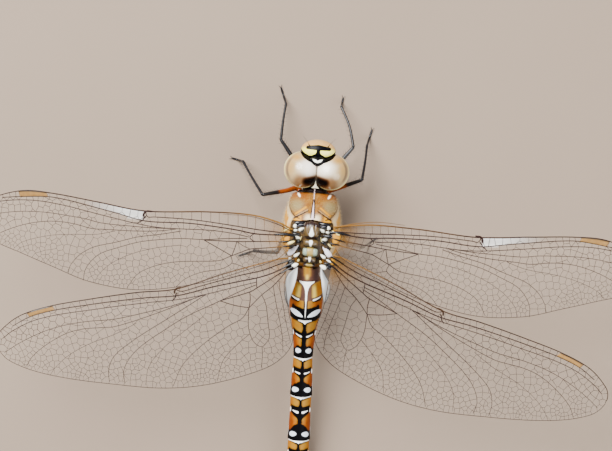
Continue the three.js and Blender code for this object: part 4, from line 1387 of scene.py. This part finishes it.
def makeLeg(name, finish, tree):
    hip, bend, knee, ankle, toe = legJoints[name]
    toe = tuple(np.array(toe) - unit(np.subtract(toe, ankle[:2])) * legMake["clawLength"])
    sides = legMake["round"]
    front, hind = name.startswith("front"), name.startswith("hind")
    femur, tibia = (tuple(r * (1 + hind * extra) for r in legMake[key])
                    for key, extra in zip(("femur", "tibia"), legMake["hindExtra"]))
    thigh = limbRings([hip, bend, between(bend, knee, 0.35), knee], femur, 48, sides)

    def warm(t):
        if front:
            return fading(t, 0.25, 0.4) * 0.35
        return fading(t, 0.62 - 0.1 * hind, 0.7 - 0.1 * hind)

    def none(t):
        return np.zeros(t.shape)

    legPiece("thigh_" + name, thigh, finish, warm, "femur_" + name)
    bow = 0.28 if name == "front_right" else 0.06
    sideways = unit(np.cross(np.subtract(ankle, knee), (0, 0, 1)))
    outwards = math.copysign(1, knee[0]) * (1 if sideways[0] > 0 else -1)
    middle = np.array(between(knee, ankle, 0.5)) + sideways * bow * outwards
    shin = limbRings([knee, tuple(middle), ankle], tibia, 36, sides)
    legPiece("shin_" + name, shin, finish, none, "tibia_" + name)
    height = 0.15
    sole = (*between(ankle, toe, 0.5)[:2], height)
    end = (*toe, height)
    foot = limbRings([ankle, sole, end], legMake["tarsus"], 40, 10)
    parts = [closedSkin(keptAbove(foot, 0.004 - rowShift[2]))]
    along = unit(np.subtract(end, sole))
    across = np.cross(along, (0, 0, 1))
    size = legMake["clawLength"]
    for sign in (-1, 1):  # a pair of claws
        base = np.array(end) - along * 0.03
        path = [base, base + along * size * 0.5 + across * sign * 0.14 + (0, 0, 0.05),
                base + along * size * 0.95 + across * sign * 0.22 - (0, 0, 0.06)]
        claw = limbRings(path, (0.045, 0.035, 0.008), 10, 6)
        parts.append(closedSkin(keptAbove(claw, 0.003 - rowShift[2])))
    points, faces = joined(parts)
    makePiece("foot_" + name, points, faces, finish, "leg_shell", "tarsus_" + name,
              marks={"orange": np.zeros(len(points))})
    lines = [(np.array(shin.mean(1)), 0.14, 0.05, 0.97), (np.array(thigh.mean(1)), 0.28, 0.55, 0.95)]
    makeSpines(name, lines, finish, tree)


def rootPatches(mesh, places):  # a map where each hair is one small patch at its root's place
    size = 0.003
    perHair = len(mesh.vertices) // len(places)
    corners = np.empty(len(mesh.loops), int)
    mesh.loops.foreach_get("vertex_index", corners)
    turn = (corners % perHair) / perHair * 2 * math.pi
    spots = np.asarray(places)[corners // perHair] + np.stack([np.cos(turn), np.sin(turn)], 1) * size / 2
    mesh.uv_layers.new(name="OFBake").data.foreach_set("uv", spots.ravel())


def growHairs(name, roots, ways, places, finish, tree, length, radius, seed=3):
    mesh = buildMesh("roots", roots, [])
    mesh.attributes.new("way", "FLOAT_VECTOR", "POINT").data.foreach_set("vector", np.array(ways).ravel())
    piece = newPiece(name, mesh)
    settled(piece, tree, finish, spineLength=length * millimetre, spineRadius=radius * millimetre, seed=seed)
    rootPatches(piece.data, places)
    return piece


def makeSpines(name, lines, finish, tree):
    points, ways, places = [], [], []
    for line, radius, first, last in lines:
        along = unit(np.gradient(line, axis=0))
        across = unit(np.cross(along, (0, 0, 1)))
        under = np.cross(along, across)
        under *= np.sign(-under[:, 2:3] + 1e-9)
        for sign in (-1, 1):
            for share in np.linspace(first, last, legMake["spinesPerRow"]):
                i = int(share * (len(line) - 1))
                out = unit(across[i] * sign * 0.8 + under[i] * 0.6)
                points.append(line[i] + out * radius * 0.8)
                ways.append(unit(out * 0.85 + along[i] * 0.55))
                places.append((0.25 + 0.2 * sign + (0.5 if radius > 0.2 else 0), 0.05 + 0.9 * share))
    piece = growHairs("spines_" + name, points, ways, places, finish, tree, legMake["spineLength"],
                      legMake["spineRadius"])
    setAttribute(piece.data, "orange", np.zeros(len(piece.data.vertices)))
    finishPiece(piece, "leg_shell")


def makeLegs():
    finish = legFinish()
    tree = spineTree("legSpines", finish)
    for name in legJoints:
        makeLeg(name, finish, tree)


makeLegs()
print("legs made")

# ---- thorax ----

thoraxMake = {
    # leaning sections, front to rear: bottom y, bottom z, top y, top z, half width
    "sections": np.array([
        (-6.25, 5.9, -6.1, 8.4, 1.7), (-6.2, 4.7, -5.75, 9.1, 2.65), (-5.8, 4, -4.9, 9.9, 3.08),
        (-4.7, 3.4, -3.4, 10.9, 3.4), (-3, 3.1, -1.5, 11.5, 3.75), (-1, 3.2, 0.5, 11.3, 3.85),
        (0.9, 3.7, 1.9, 10.9, 3.5), (2.3, 4.6, 2.9, 10.3, 2.6), (3.25, 6, 3.5, 9.6, 1.75),
    ]),
    "squareness": 0.86, "skin": 0.985,
    "prothorax": ((0, -6.5, 5.9), (1.6, 0.95, 1.6)),
    "pronotum": ((0, -6.35, 7.9), (1.25, 0.42, 0.75)),
    "neck": ((-0.6, -7.7, 7.5), (-0.3, -5.9, 7.2), 0.82),
    "hinges": (((0.15, 0.1, -0.3), (0.85, 1.1, 0.46)), ((-0.1, -0.3, -0.35), (0.75, 0.66, 0.4))),
    "coxa": (0.75, 0.6), "voxel": 0.1,
    # rear edge of the shoulder plate, by height: how far back it lies
    "shoulderLine": ((4.0, -5.85), (6.0, -5.35), (7.5, -4.75), (9.0, -3.85), (10.6, -2.75), (12, -2.2)),
    "hollow": 0.32,
}


def thoraxRings():
    t = np.linspace(0, 1, 90)
    bottomY, bottomZ, topY, topZ, half = (evenCurve(column, t)[:, None]
                                          for column in thoraxMake["sections"].T)
    turn = (np.arange(120) + 0.5) / 120 * 2 * math.pi

    def squared(value):
        return np.sign(value) * np.abs(value) ** thoraxMake["squareness"]
    rise = (1 + squared(np.cos(turn)) * thoraxMake["skin"]) / 2
    return np.stack([half * squared(np.sin(turn)) * thoraxMake["skin"], bottomY + (topY - bottomY) * rise,
                     bottomZ + (topZ - bottomZ) * rise], -1)


def shoulderY(z):
    heights, places = zip(*thoraxMake["shoulderLine"])
    return np.interp(z, heights, places)


def hollowFront(a):  # the front edge of the hollow arches forward in the middle
    return -2.34 - 0.2 * np.cos(a * 1.2)


def hollowShare(x, y, z):  # the sunken place between the wings that holds the back plates
    a = np.abs(x)
    front = hollowFront(a)
    return (smooth(y, front - 0.08, front + 0.12) * fading(y, 3.0, 3.4) * fading(a, 1.5, 1.9)
            * smooth(z, 9.4, 9.9))


def thoraxRelief(x, y, z, nz):
    a = np.abs(x)
    top = smooth(nz, 0.1, 0.4) * (y < -2.5)
    keel = 0.11 * hump(a, 0, 0.1) - 0.06 * hump(a, 0.27, 0.08)
    slope = barGap(a, y, (0.7, -3.63), (2.3, -2.68), 0)
    frontSlope = barGap(a, y, (0.95, -4.15), (2.1, -3.2), 0)
    ridges = 0.1 * hump(slope, 0.1, 0.1) - 0.07 * hump(slope, 0, 0.06) \
        + 0.06 * hump(frontSlope, 0, 0.12)
    relief = top * (keel + ridges)
    relief = relief - thoraxMake["hollow"] * hollowShare(x, y, z)
    side = smooth(a, 1.9, 2.6)
    back = y - shoulderY(z)
    for place, depth, width in ((0.0, 0.09, 0.09), (2.75, 0.08, 0.1), (6.0, 0.07, 0.1)):
        relief = relief - side * depth * hump(back, place, width)
    relief = relief + side * 0.07 * (hump(back, 1.3, 0.7) + hump(back, 4.4, 0.9))
    return relief


def thoraxMarks(x, y, z, nz):
    a = np.abs(x)
    top = (nz > 0.12) & (y < -2.2) & (z > 7.2)
    far = 9.0
    back = y - shoulderY(z)
    # on the back
    keelHalf = np.interp(y, [-6.3, -4.9, -4.4, -3.6, -3.0], [0.05, 0.05, 0.09, 0.14, 0.2])
    keelEdge = both(np.abs(a - keelHalf - 0.05) - 0.07, y + 2.8, -5.2 - y)
    slope = barGap(a, y, (0.62, -3.68), (2.3, -2.66), 0.06, 0.09)
    slope = either(slope, barGap(a, y, (0.8, -3.93), (2.15, -3.08), 0.02, 0.03))
    hollowEdge = np.abs(y - hollowFront(a)) - 0.07
    line = either(np.where(top, either(keelEdge, slope), far), np.where(a > 1.6, np.abs(back) - 0.05, far),
                  np.where(top & (a < 2.1), hollowEdge, far))
    for place, width in ((2.75, 0.05), (6.0, 0.05)):  # the seams of the flanks
        line = np.minimum(line, np.where(a > 2.0, np.abs(back - place) - width, far))
    keel = both(a - keelHalf, y + 2.6)
    dash = ovalGap(a, y, (1.97, -5.7), (0.32, 0.13), -58)
    pale = np.where(top, either(keel, dash), far)
    # behind the slanting ridges: whitish near the middle, yellow at the ends
    behind = smooth(y + 3.63 - (a - 0.7) * 0.6, 0.04, 0.16) * top * (a < 2.4)
    peach = np.where(top, fading(barGap(a, y, (0.75, -3.81), (2.2, -2.9), 0.05), 0, 0.09), 0)
    ridge = np.where(top, fading(barGap(a, y, (0.95, -4.16), (2.15, -3.24), 0.07, 0.11), -0.02, 0.1), 0)
    tip = behind * smooth(a, 1.3, 1.65)
    khaki = np.where(nz > 0, fading(np.hypot((a - 2.15) / 1.25, (y + 4.3) / 1.05), 0.2, 1.2), 0)
    stripeGap = np.minimum(np.abs(back - 1.35) - 0.62, np.abs(back - 4.5) - 0.85)
    stripeGap = np.maximum(stripeGap, np.maximum(4.6 - z, z - 9.75))
    onSide = smooth(a, 2.05, 2.35) * smooth(back, -0.1, 0.1)
    stripe = fading(stripeGap, -0.12, 0.06) * onSide
    cream = fading(stripeGap, 0.35, 0.8) * onSide * 0.52
    whitish = behind * fading(a, 0.6, 1.3) * smooth(y, -3.5, -2.9)
    cream = np.maximum(cream, whitish * 0.85 + peach * 0.15)
    hollow = hollowShare(x, y, z)
    hinge = smooth(y, -2.45, -2.3) * fading(y, 3.1, 3.4) * smooth(z, 10.0, 10.5) * (a < 3.05)
    black = np.maximum(hollow, hinge * fading(a, 2.5, 3.0))
    rearRoot = smooth(y, 3.1, 3.4) * smooth(z, 9.3, 9.8)
    lobe = smooth(a, 2.6, 3.0) * smooth(z, 9.8, 10.3) * smooth(y, -2.2, -1.8)
    fore = np.where(nz > -0.2, fading(y, -5.7, -4.8) * 0.7, 0)
    patch = fading(barGap(a, y, (0.75, -4.5), (1.5, -4.0), 0.1), 0, 0.35)
    fore = np.maximum(fore, np.where(top, patch, 0) * 0.6)
    # painted shade: dark at the gap behind the head and on the rear rim where the thorax drops to the tail
    dusk = np.maximum(fading(y, -6.12, -5.95), smooth(y, 2.85, 3.05) * (smooth(a, 0.4, 0.9) * 0.6
                                                                            + smooth(a, 1.8, 2.1) * 0.4))
    return {"line": line, "pale": pale, "lilac": np.where(top, fading(keel, -0.02, 0.1), 0),
            "yellow": np.maximum.reduce([ridge, tip, stripe, lobe * 0.7]), "khaki": khaki,
            "cream": cream, "black": black, "dusk": dusk,
            "rust": np.maximum(fore * smooth(a, 0.3, 1.2), rearRoot)}


def thoraxFinish():
    make = finishMaker("thoraxShell", roughness=0.45, specularIorLevel=0.15, coatWeight=0.03,
                       coatRoughness=0.3)
    cloud, fine = make.noise(0.9, 4), make.noise(5, 4)
    patchy = make.band(make.noise(2.2, 4), 0.35, 0.65)
    ground = make.mix(cloud, (98, 56, 12), (138, 92, 30))
    ground = make.mix(make.maths("MULTIPLY", patchy, 0.55), ground, (148, 106, 44))
    # dusk darkens the ground as painted shade at the neck gap and the rear rim
    ground = make.paint(ground, rust=make.mix(fine, (96, 40, 2), (126, 62, 6)),
                        khaki=make.mix(fine, (108, 92, 56), (144, 126, 84)), cream=(232, 212, 168),
                        yellow=make.mix(cloud, (170, 104, 1), (206, 148, 8)),
                        dusk=make.mix(fine, (5, 3, 3), (24, 10, 5)))
    make.set(specularIorLevel=make.band(make.attribute("dusk"), 0, 1, 0.15, 0.05))
    wobble = make.swing(fine, 0.08)
    isPale = make.band(make.maths("ADD", make.attribute("pale"), wobble), 0.05, -0.05)
    paleTint = make.mix(make.attribute("lilac"), (252, 248, 236), (214, 188, 192))
    ground = make.mix(isPale, ground, paleTint)
    isLine = make.band(make.maths("ADD", make.attribute("line"), wobble), 0.045, -0.03)
    ground = make.mix(isLine, ground, (24, 8, 8))
    sunken = make.mix(patchy, (3, 3, 5), make.mix(fine, (20, 12, 6), (98, 72, 36)))
    ground = make.mix(make.band(make.attribute("black"), 0.35, 0.65), ground, sunken)
    make.set(baseColor=ground)
    make.set(normal=make.bump(make.cells(8), 0.008, 0.3, make.bump(fine, 0.04, 0.4)))
    make.set(roughness=make.band(fine, 0.3, 0.7, 0.34, 0.52))
    return make.material


def makeThoraxSkin():
    make = thoraxMake
    first, last, radius = make["neck"]
    parts = [closedSkin(inThorax(rings)) for rings in (
        thoraxRings(), ballRings(*make["prothorax"], 0, 30, 40), ballRings(*make["pronotum"], 0, 30, 40),
        limbRings([first, last], (radius, radius), 10, 30))]
    for wing in wings:
        centre, radii = make["hinges"]["hindwing" in wing["name"]]
        parts.append(closedSkin(fromWing(wing, ballRings(centre, radii, 0, 20, 30))))
    for hip, bend, *_ in legJoints.values():
        middle = (np.array(hip) + bend) / 2
        way = unit(np.subtract(bend, hip))
        thick, thin = make["coxa"]
        parts.append(closedSkin(limbRings([middle - way * 0.6, middle, middle + way * 0.45],
                                          (thin, thick * 0.95, thin * 0.8), 12, 24)))
    points, faces = joined(parts)
    piece = newPiece("thorax_skin", buildMesh("thorax", points, faces))
    fuse = piece.modifiers.new("Remesh", "REMESH")
    fuse.mode = "VOXEL"
    fuse.voxel_size = make["voxel"] * millimetre
    ease = piece.modifiers.new("Smooth", "SMOOTH")
    ease.factor, ease.iterations = 0.5, 6
    mesh = bpy.data.meshes.new_from_object(piece.evaluated_get(bpy.context.evaluated_depsgraph_get()))
    piece.modifiers.clear()
    piece.data = mesh
    spots, ways = (readOut(mesh.vertices, key, 3) for key in ("co", "normal"))
    local = toThorax(spots / millimetre - rowShift)
    relief = thoraxRelief(*local.T, ways[:, 2])
    mesh.vertices.foreach_set("co", (spots + ways * relief[:, None] * millimetre).ravel())
    for key, values in thoraxMarks(*local.T, ways[:, 2]).items():
        setAttribute(mesh, key, values)
    mesh.polygons.foreach_set("use_smooth", [True] * len(mesh.polygons))
    mesh.materials.clear()
    mesh.materials.append(thoraxFinish())
    mesh.update()
    return finishPiece(piece, "thorax_shell", "thorax", "prothorax", "neck")


thoraxSkin = makeThoraxSkin()
print("thorax made")


# ---- hairs of the thorax ----

hairMake = {"count": 5200, "length": 0.42, "radius": 0.011, "spread": 0.35, "seed": 11}


def makeHairs():
    make = finishMaker("thoraxHair", roughness=0.5, sheenWeight=0.3)
    make.set(baseColor=make.mix(make.noise(2, 2), (112, 84, 44), (190, 170, 126)))
    faces = thoraxSkin.data.polygons
    spots = readOut(faces, "center", 3) / millimetre - rowShift
    ways, areas = readOut(faces, "normal", 3), readOut(faces, "area", 1)[:, 0]
    x, y, z = toThorax(spots).T
    back = (y < -2.9) & (y > -6.0) & (z < 11.5)
    flank = (np.abs(ways[:, 0]) > 0.5) & (z < 9.8) & (z > 4)
    share = areas * np.where(back, 0.6, np.where(flank, 1.0, 0.25 * (z < 9))) * (np.abs(y + 1.35) < 4.35)
    rng = np.random.default_rng(hairMake["seed"])
    chosen = rng.choice(len(faces), hairMake["count"], replace=False, p=share / share.sum())
    lean = np.array([0, 0.55, -0.1]) + rng.normal(0, hairMake["spread"], (len(chosen), 3))
    toward = unit(ways[chosen] + lean * 0.6)
    around = np.arctan2(x, z - 7.3)[chosen] / (2 * math.pi) + 0.5
    places = np.stack([0.02 + 0.96 * around, 0.02 + 0.96 * np.clip((y[chosen] + 7.2) / 11, 0, 1)], 1)
    roots = spots[chosen] - toward * 0.02
    piece = growHairs("thorax_hairs", roots, toward, places, make.material,
                      spineTree("thoraxHairs", make.material, 3), hairMake["length"], hairMake["radius"],
                      hairMake["seed"])
    finishPiece(piece, "thorax_shell")


makeHairs()
print("hairs made")


# ---- back plates and wing hinges ----

# centre across and back, half length, half width, turn from straight back, height, finish
sidePlates = {
    "shoulderCap": (1.56, -2.1, 0.75, 0.3, 80, 0.3, "black"),
    "shoulderLens": (1.5, -1.68, 0.62, 0.16, 84, 0.3, "black"),
    # a grey sliver on the black lens: a painted highlight of the light on the glossy shell
    "capPaintedGlint": (1.42, -1.84, 0.4, 0.07, 82, 0.34, "grey"),
    "frontKnob": (2.15, -1.68, 0.3, 0.24, 20, 0.3, "white"),
    "frontBar": (1.33, -1.29, 0.42, 0.21, 62, 0.3, "white"),
    "frontStud": (2.05, -1.1, 0.26, 0.16, 75, 0.26, "white"),
    "leadPlate": (3.1, -1.12, 0.6, 0.15, 66, 0.2, "cream"),
    "rootHook": (2.2, -0.62, 0.85, 0.26, 88, 0.32, "black"),
    "middleOval": (1.74, -0.16, 0.38, 0.2, 98, 0.3, "white"),
    "middleEdge": (1.3, -0.1, 0.38, 0.06, 15, 0.26, "cream"),
    "rearHook": (1.62, 0.25, 0.4, 0.2, 60, 0.26, "black"),
    "creamBar": (2.5, 0.5, 0.5, 0.2, 66, 0.24, "cream"),
    "longLeaf": (2.18, 1.42, 1.0, 0.34, 41, 0.26, "pearl"),
    "leafEdge": (2.5, 1.62, 0.95, 0.07, 45, 0.26, "black"),
    "hindBar": (1.7, 2.02, 0.46, 0.21, 54, 0.34, "white"),
    "hindBarEdge": (1.86, 2.32, 0.5, 0.08, 56, 0.3, "black"),
    "hindStud": (2.47, 2.52, 0.38, 0.14, 64, 0.26, "white"),
    "smallStud": (1.42, 2.7, 0.24, 0.16, 30, 0.24, "cream"),
    "lastHook": (2.3, 2.95, 0.5, 0.16, 66, 0.24, "black"),
    "rearOval": (1.8, 3.36, 0.46, 0.28, 66, 0.28, "white"),
    "rearKnob": (2.5, 3.35, 0.4, 0.22, 70, 0.26, "black"),
}
hingeTones = {  # two colours that run into each other, and the roughness
    "white": ((242, 240, 214), (255, 254, 242), 0.28), "cream": ((218, 190, 92), (240, 228, 166), 0.3),
    # grey is the colour of a painted highlight
    "pearl": ((204, 194, 200), (242, 236, 240), 0.3), "grey": ((78, 78, 90), (150, 150, 156), 0.25),
    "black": ((2, 2, 4), (9, 9, 15), 0.24),
}
# name: centre back, half width, half length, base height, dome height
middlePlates = {
    "scutum": (-1.27, 1.0, 1.14, 11.15, 0.85),
    "scutellum": (0.38, 1.0, 0.5, 11.0, 0.8),
    "hind_scutum": (1.52, 1.02, 0.62, 10.75, 0.72),
    "hind_scutellum": (2.52, 0.82, 0.42, 10.3, 0.62),
    "rear_collar": (3.22, 0.78, 0.24, 9.75, 0.55),
}
plateReplaces = {"scutum": "mesonotum", "hind_scutum": "metanotum"}


def plainFinish(name, base, otherBase, roughness):
    make = finishMaker(name, roughness=roughness, coatWeight=0.2, coatRoughness=0.15, specularIorLevel=0.4)
    make.set(baseColor=make.mix(make.noise(4, 3), base, otherBase))
    make.grain(16, 3, 0.02, 0.4)
    return make.material


def backPlateFinish():
    make = finishMaker("backPlate", roughness=0.36, coatWeight=0.2, coatRoughness=0.2)
    cloud, fine = make.noise(1.6, 3), make.noise(7, 3)
    ground = make.mix(cloud, (54, 38, 14), (92, 72, 38))
    ground = make.paint(ground, golden=make.mix(fine, (66, 44, 8), (90, 68, 24)),
                        straw=(146, 124, 62), blue=(126, 142, 122))
    ground = make.mix(make.band(make.attribute("dark"), 0.05, -0.05), ground,
                      make.mix(fine, (8, 2, 2), (38, 12, 6)))
    pale = make.mix(cloud, (246, 248, 240), (254, 255, 248))
    make.set(baseColor=make.mix(make.band(make.attribute("pale"), 0.04, -0.04), ground, pale))
    make.grain(12, 3, 0.03, 0.4)
    return make.material


def plateMarks(name, x, y):
    a = np.abs(x)
    far = np.full(x.shape, 9.0)
    zero = np.zeros(x.shape)
    marks = {"pale": far, "dark": far, "blue": zero, "golden": zero, "straw": zero}
    if name == "scutum":
        half = np.interp(y, [-2.05, -1.7, -1.1, -0.75, -0.5, -0.4], [0.0, 0.05, 0.2, 0.33, 0.24, 0])
        marks["pale"] = both(a - half, -2.1 - y, y + 0.3)
        front = y + 1.92 - 0.35 * a
        marks["dark"] = either(-0.5 - 0.06 * np.cos(4 * a) - y, front)
        marks["golden"] = smooth(a, 0.25, 0.45) * fading(a, 0.62, 0.9) * 0.9
    elif name == "scutellum":
        half = np.interp(y, [0.05, 0.3, 0.7, 0.95], [0.16, 0.25, 0.13, 0.04])
        marks["pale"] = both(a - half, 0.03 - y, y - 0.92)
        marks["dark"] = both(0.72 + 0.1 * (a - 0.3) - y, a - 0.72)
        marks["golden"] = smooth(a, 0.5, 0.8) * 0.4
    elif name == "hind_scutum":
        marks["blue"] = fading(np.maximum(np.abs(a - 0.68) - 0.24, np.abs(y - 1.6) - 0.5), -0.05, 0.06)
        marks["straw"] = fading(a, 0.35, 0.48)
    elif name == "hind_scutellum":
        half = np.interp(y, [2.1, 2.4, 2.85, 2.95], [0.2, 0.16, 0.06, 0])
        marks["pale"] = both(a - half, 2.12 - y, y - 2.95)
        marks["dark"] = ovalGap(a, y, (0.28, 2.72), (0.16, 0.2))
    elif name == "rear_collar":
        marks["straw"] = fading(a, 0.3, 0.5)
        marks["dark"] = 0.42 - a + 0.5 * (y - 3.2)
    return marks


def makeMiddlePlates():
    finish = backPlateFinish()
    for name, (back, halfWidth, halfLength, base, dome) in middlePlates.items():
        rows, columns = 46, 72
        rings = []
        for t in (np.arange(rows) + 0.5) / rows * math.pi:
            turn = np.arange(columns) / columns * 2 * math.pi
            # a cushion outline, squarer than an oval
            span = np.sin(t) ** 0.62
            x = -np.sign(math.cos(t)) * abs(math.cos(t)) ** 0.8 * halfWidth * np.ones(columns)
            y = back + halfLength * span * np.sign(np.cos(turn)) * np.abs(np.cos(turn)) ** 0.7
            z = base + dome * span * np.sin(turn) * np.where(np.sin(turn) > 0, 1, 0.4)
            rings.append(np.stack([x, y, z], -1))
        points, faces = closedSkin(np.array(rings))
        x, y = points[:, 0], points[:, 1]
        raised = points[:, 2] > base
        crease = 0.09 * hump(np.abs(x), 0.42, 0.07) * (name in ("scutum", "hind_scutum"))
        points[:, 2] -= crease * raised
        replaced = [plateReplaces[name]] if name in plateReplaces else []
        makePiece(name, inThorax(points), faces, finish, "back_plate", *replaced,
                  marks=plateMarks(name, x, y))


def makeSidePlates():
    finishes = {tone: plainFinish("hinge" + tone.title(), *values) for tone, values in hingeTones.items()}
    sight = bpy.context.evaluated_depsgraph_get()
    skin = thoraxSkin.evaluated_get(sight)
    groups = {key: [] for key in finishes}
    for x, y, halfLength, halfWidth, lean, rise, finish in sidePlates.values():
        for sign in (1, -1):
            spot = inRow(inThorax([x * sign, y, 20]))
            found, place, normal, _ = skin.ray_cast(Vector(spot), Vector((0, 0, -1)))
            if found:
                height = place.z
            else:  # the same height as on the other side
                place, normal = Vector((spot[0], spot[1], height)), Vector((0, 0, 1))
            rings = ballRings((0, 0, 0), (halfLength, halfWidth, rise), 0, 14, 18)
            rings[..., 1] *= 1 + 0.35 * rings[..., 0:1][..., 0] / halfLength  # one end is blunter
            rings[..., 2] *= np.where(rings[..., 2] < 0, 0.6, 1)
            points, faces = closedSkin(rings)
            points = turned(points, 90 - lean if sign > 0 else 90 + lean)
            up = Vector((0, 0, 1)).lerp(normal, 0.3 if normal.z > 0.6 else 0.1).normalized()
            tilt = np.array(Vector((0, 0, 1)).rotation_difference(up).to_matrix())
            points = turned(points, stance["thoraxYaw"]) @ tilt.T
            groups[finish].append((points + np.array(place) / millimetre - rowShift, faces))
    for key, parts in groups.items():
        makePiece("hinge_plates_" + key, *joined(parts), finishes[key], "back_plate")
    return finishes["black"]


def makeHingeVeins(finish):  # the thick dark ends of the main veins at the wing roots
    roots = {"forewing": [((-0.5, -0.62, 0.1), (0.5, -0.66, 0.12), (2.2, -0.55, 0.1), 0.2),
                          ((-0.3, 0.0, 0.05), (0.4, 0.2, 0.1), (1.6, 0.4, 0.08), 0.13),
                          ((-0.35, 0.75, 0.0), (0.3, 0.8, 0.02), (1.5, 1.0, 0.0), 0.12)],
             "hindwing": [((-0.5, -0.6, 0.1), (0.4, -0.42, 0.14), (2.0, -0.05, 0.12), 0.14),
                          ((-0.4, -1.0, 0.1), (0.3, -0.97, 0.12), (1.6, -0.85, 0.1), 0.1),
                          ((-0.4, -0.1, 0.05), (0.6, 0.1, 0.1), (2.0, 0.5, 0.05), 0.1)]}
    for wing in wings:
        parts = [closedSkin(fromWing(wing, limbRings(path, (radius, radius * 0.9, 0.05), 24, 12)))
                 for *path, radius in roots[wing["name"].split("_")[0]]]
        makePiece("vein_roots_" + wing["name"], *joined(parts), finish, "wing_membrane")


# outer and inner edges as places back and out from the wing root, and the stretch they cover
membranuleShapes = {
    "hindwing_left": (
        ([0.15, 0.5, 0.79, 1.34, 2.09, 3.24, 4.05, 4.95], [-0.5, 0.35, 0.75, 1.23, 1.49, 1.71, 1.72, 1.53]),
        ([0.15, 1.11, 1.89, 2.99, 3.45, 4.04, 4.95], [-0.84, -0.51, -0.12, 0.57, 0.89, 1.24, 1.51]),
        (0.15, 4.95)),
    "hindwing_right": (
        ([0.85, 1.53, 2.04, 2.57, 3.33, 4.15, 4.85], [-1.25, -0.38, 0.37, 0.78, 1.0, 1.11, 1.04]),
        ([0.85, 1.61, 2.38, 3.05, 4.06, 4.85], [-1.45, -1.14, -0.62, -0.22, 0.41, 1.02]),
        (0.85, 4.85)),
}


def makeMembranules():  # the pale leaf at the inner edge of each hindwing
    make = finishMaker("membranule", roughness=0.45, sheenWeight=0.2)
    cloud = make.noise(1.5, 3, place=make.stretched((1, 0.3, 1)))
    ground = make.mix(cloud, (92, 92, 90), (136, 136, 134))
    ground = make.mix(make.attribute("bright"), ground, (206, 206, 204))
    make.set(baseColor=make.mix(make.attribute("rim"), ground, (8, 6, 6)))
    make.set(normal=make.bump(cloud, 0.05, 0.4))
    for wing in wings[2:]:
        wing = {**wing, "pull": 0}
        t = np.linspace(0, 1, 60)
        across = np.linspace(0, 1, 14)
        outer, inner, (first, last) = membranuleShapes[wing["name"]]
        back = first + (last - first) * t
        edge = curveThrough(*outer, back)
        width = np.maximum(edge - curveThrough(*inner, back), 0.02)
        flat = np.dstack([edge[:, None] - width[:, None] * across, back[:, None] + 0 * across])
        height = -0.12 - 0.35 * t[:, None] + 0.12 * np.sin(math.pi * across)
        rim = fading(width[:, None] * across, 0.08, 0.26).reshape(-1)
        bright = (smooth(across, 0.45, 1)[None] * fading(t, 0.3, 0.75)[:, None]).reshape(-1)
        makePiece("membranule_" + wing["name"], *wingSheet(wing, flat, height, 0.025), make.material,
                  "wing_membrane", marks={"rim": np.tile(rim, 2), "bright": np.tile(bright, 2)})


makeMiddlePlates()
hingeBlack = makeSidePlates()
makeHingeVeins(hingeBlack)
makeMembranules()
print("back plates made")

# ---- floor, light and camera ----

studio = {
    "floor": 0.6, "floorTints": ((124, 106, 90), (130, 113, 97)),
    "keyPower": 11, "keySize": 0.4, "fillPower": 2.8, "worldLight": 0.45,
    "cameraHeight": 0.4, "cameraOver": (0.64, -1.86), "lens": 178.1,
}


def floorFinish():
    make = finishMaker("paleFloor", roughness=0.75)
    first, second = studio["floorTints"]
    make.set(baseColor=make.mix(make.noise(0.03, 3), first, second))
    return make.material


def makeFloor():
    half = studio["floor"] / 2
    mesh = bpy.data.meshes.new("floor")
    corners = [(-half, -half, 0), (half, -half, 0), (half, half, 0), (-half, half, 0)]
    mesh.from_pydata(corners, [], [(0, 1, 2, 3)])
    newPiece("floor", mesh, floorFinish())


def addLight(name, place, target, power, size, tint=(1, 1, 1)):
    lamp = bpy.data.lights.new(name, "AREA")
    lamp.shape = "DISK"
    lamp.size = size
    lamp.energy = power
    lamp.color = tint
    holder = bpy.data.objects.new(name, lamp)
    holder.location = place
    holder.rotation_euler = (Vector(target) - Vector(place)).to_track_quat("-Z", "Y").to_euler()
    bpy.context.scene.collection.objects.link(holder)


def makeStudio():
    makeFloor()
    addLight("keyLight", (0.2, -0.26, 0.38), (0, 0, 0), studio["keyPower"], studio["keySize"])
    addLight("fillLight", (-0.3, 0.2, 0.3), (0, 0, 0), studio["fillPower"], 0.4, (0.94, 0.97, 1))
    world = bpy.data.worlds.new("studioAir")
    world.use_nodes = True
    world.node_tree.nodes["Background"].inputs["Color"].default_value = (1, 1, 1, 1)
    world.node_tree.nodes["Background"].inputs["Strength"].default_value = studio["worldLight"]
    bpy.context.scene.world = world
    camera = bpy.data.objects.new("camera", bpy.data.cameras.new("camera"))
    camera.data.lens = studio["lens"]
    camera.data.clip_start = 0.01
    over = inRow([*studio["cameraOver"], 0])
    camera.location = (over[0], over[1], studio["cameraHeight"])
    camera.rotation_euler = (0, 0, math.pi)  # looks straight down, the head upwards in the picture
    bpy.context.scene.collection.objects.link(camera)
    bpy.context.scene.camera = camera


makeStudio()
print("studio made")
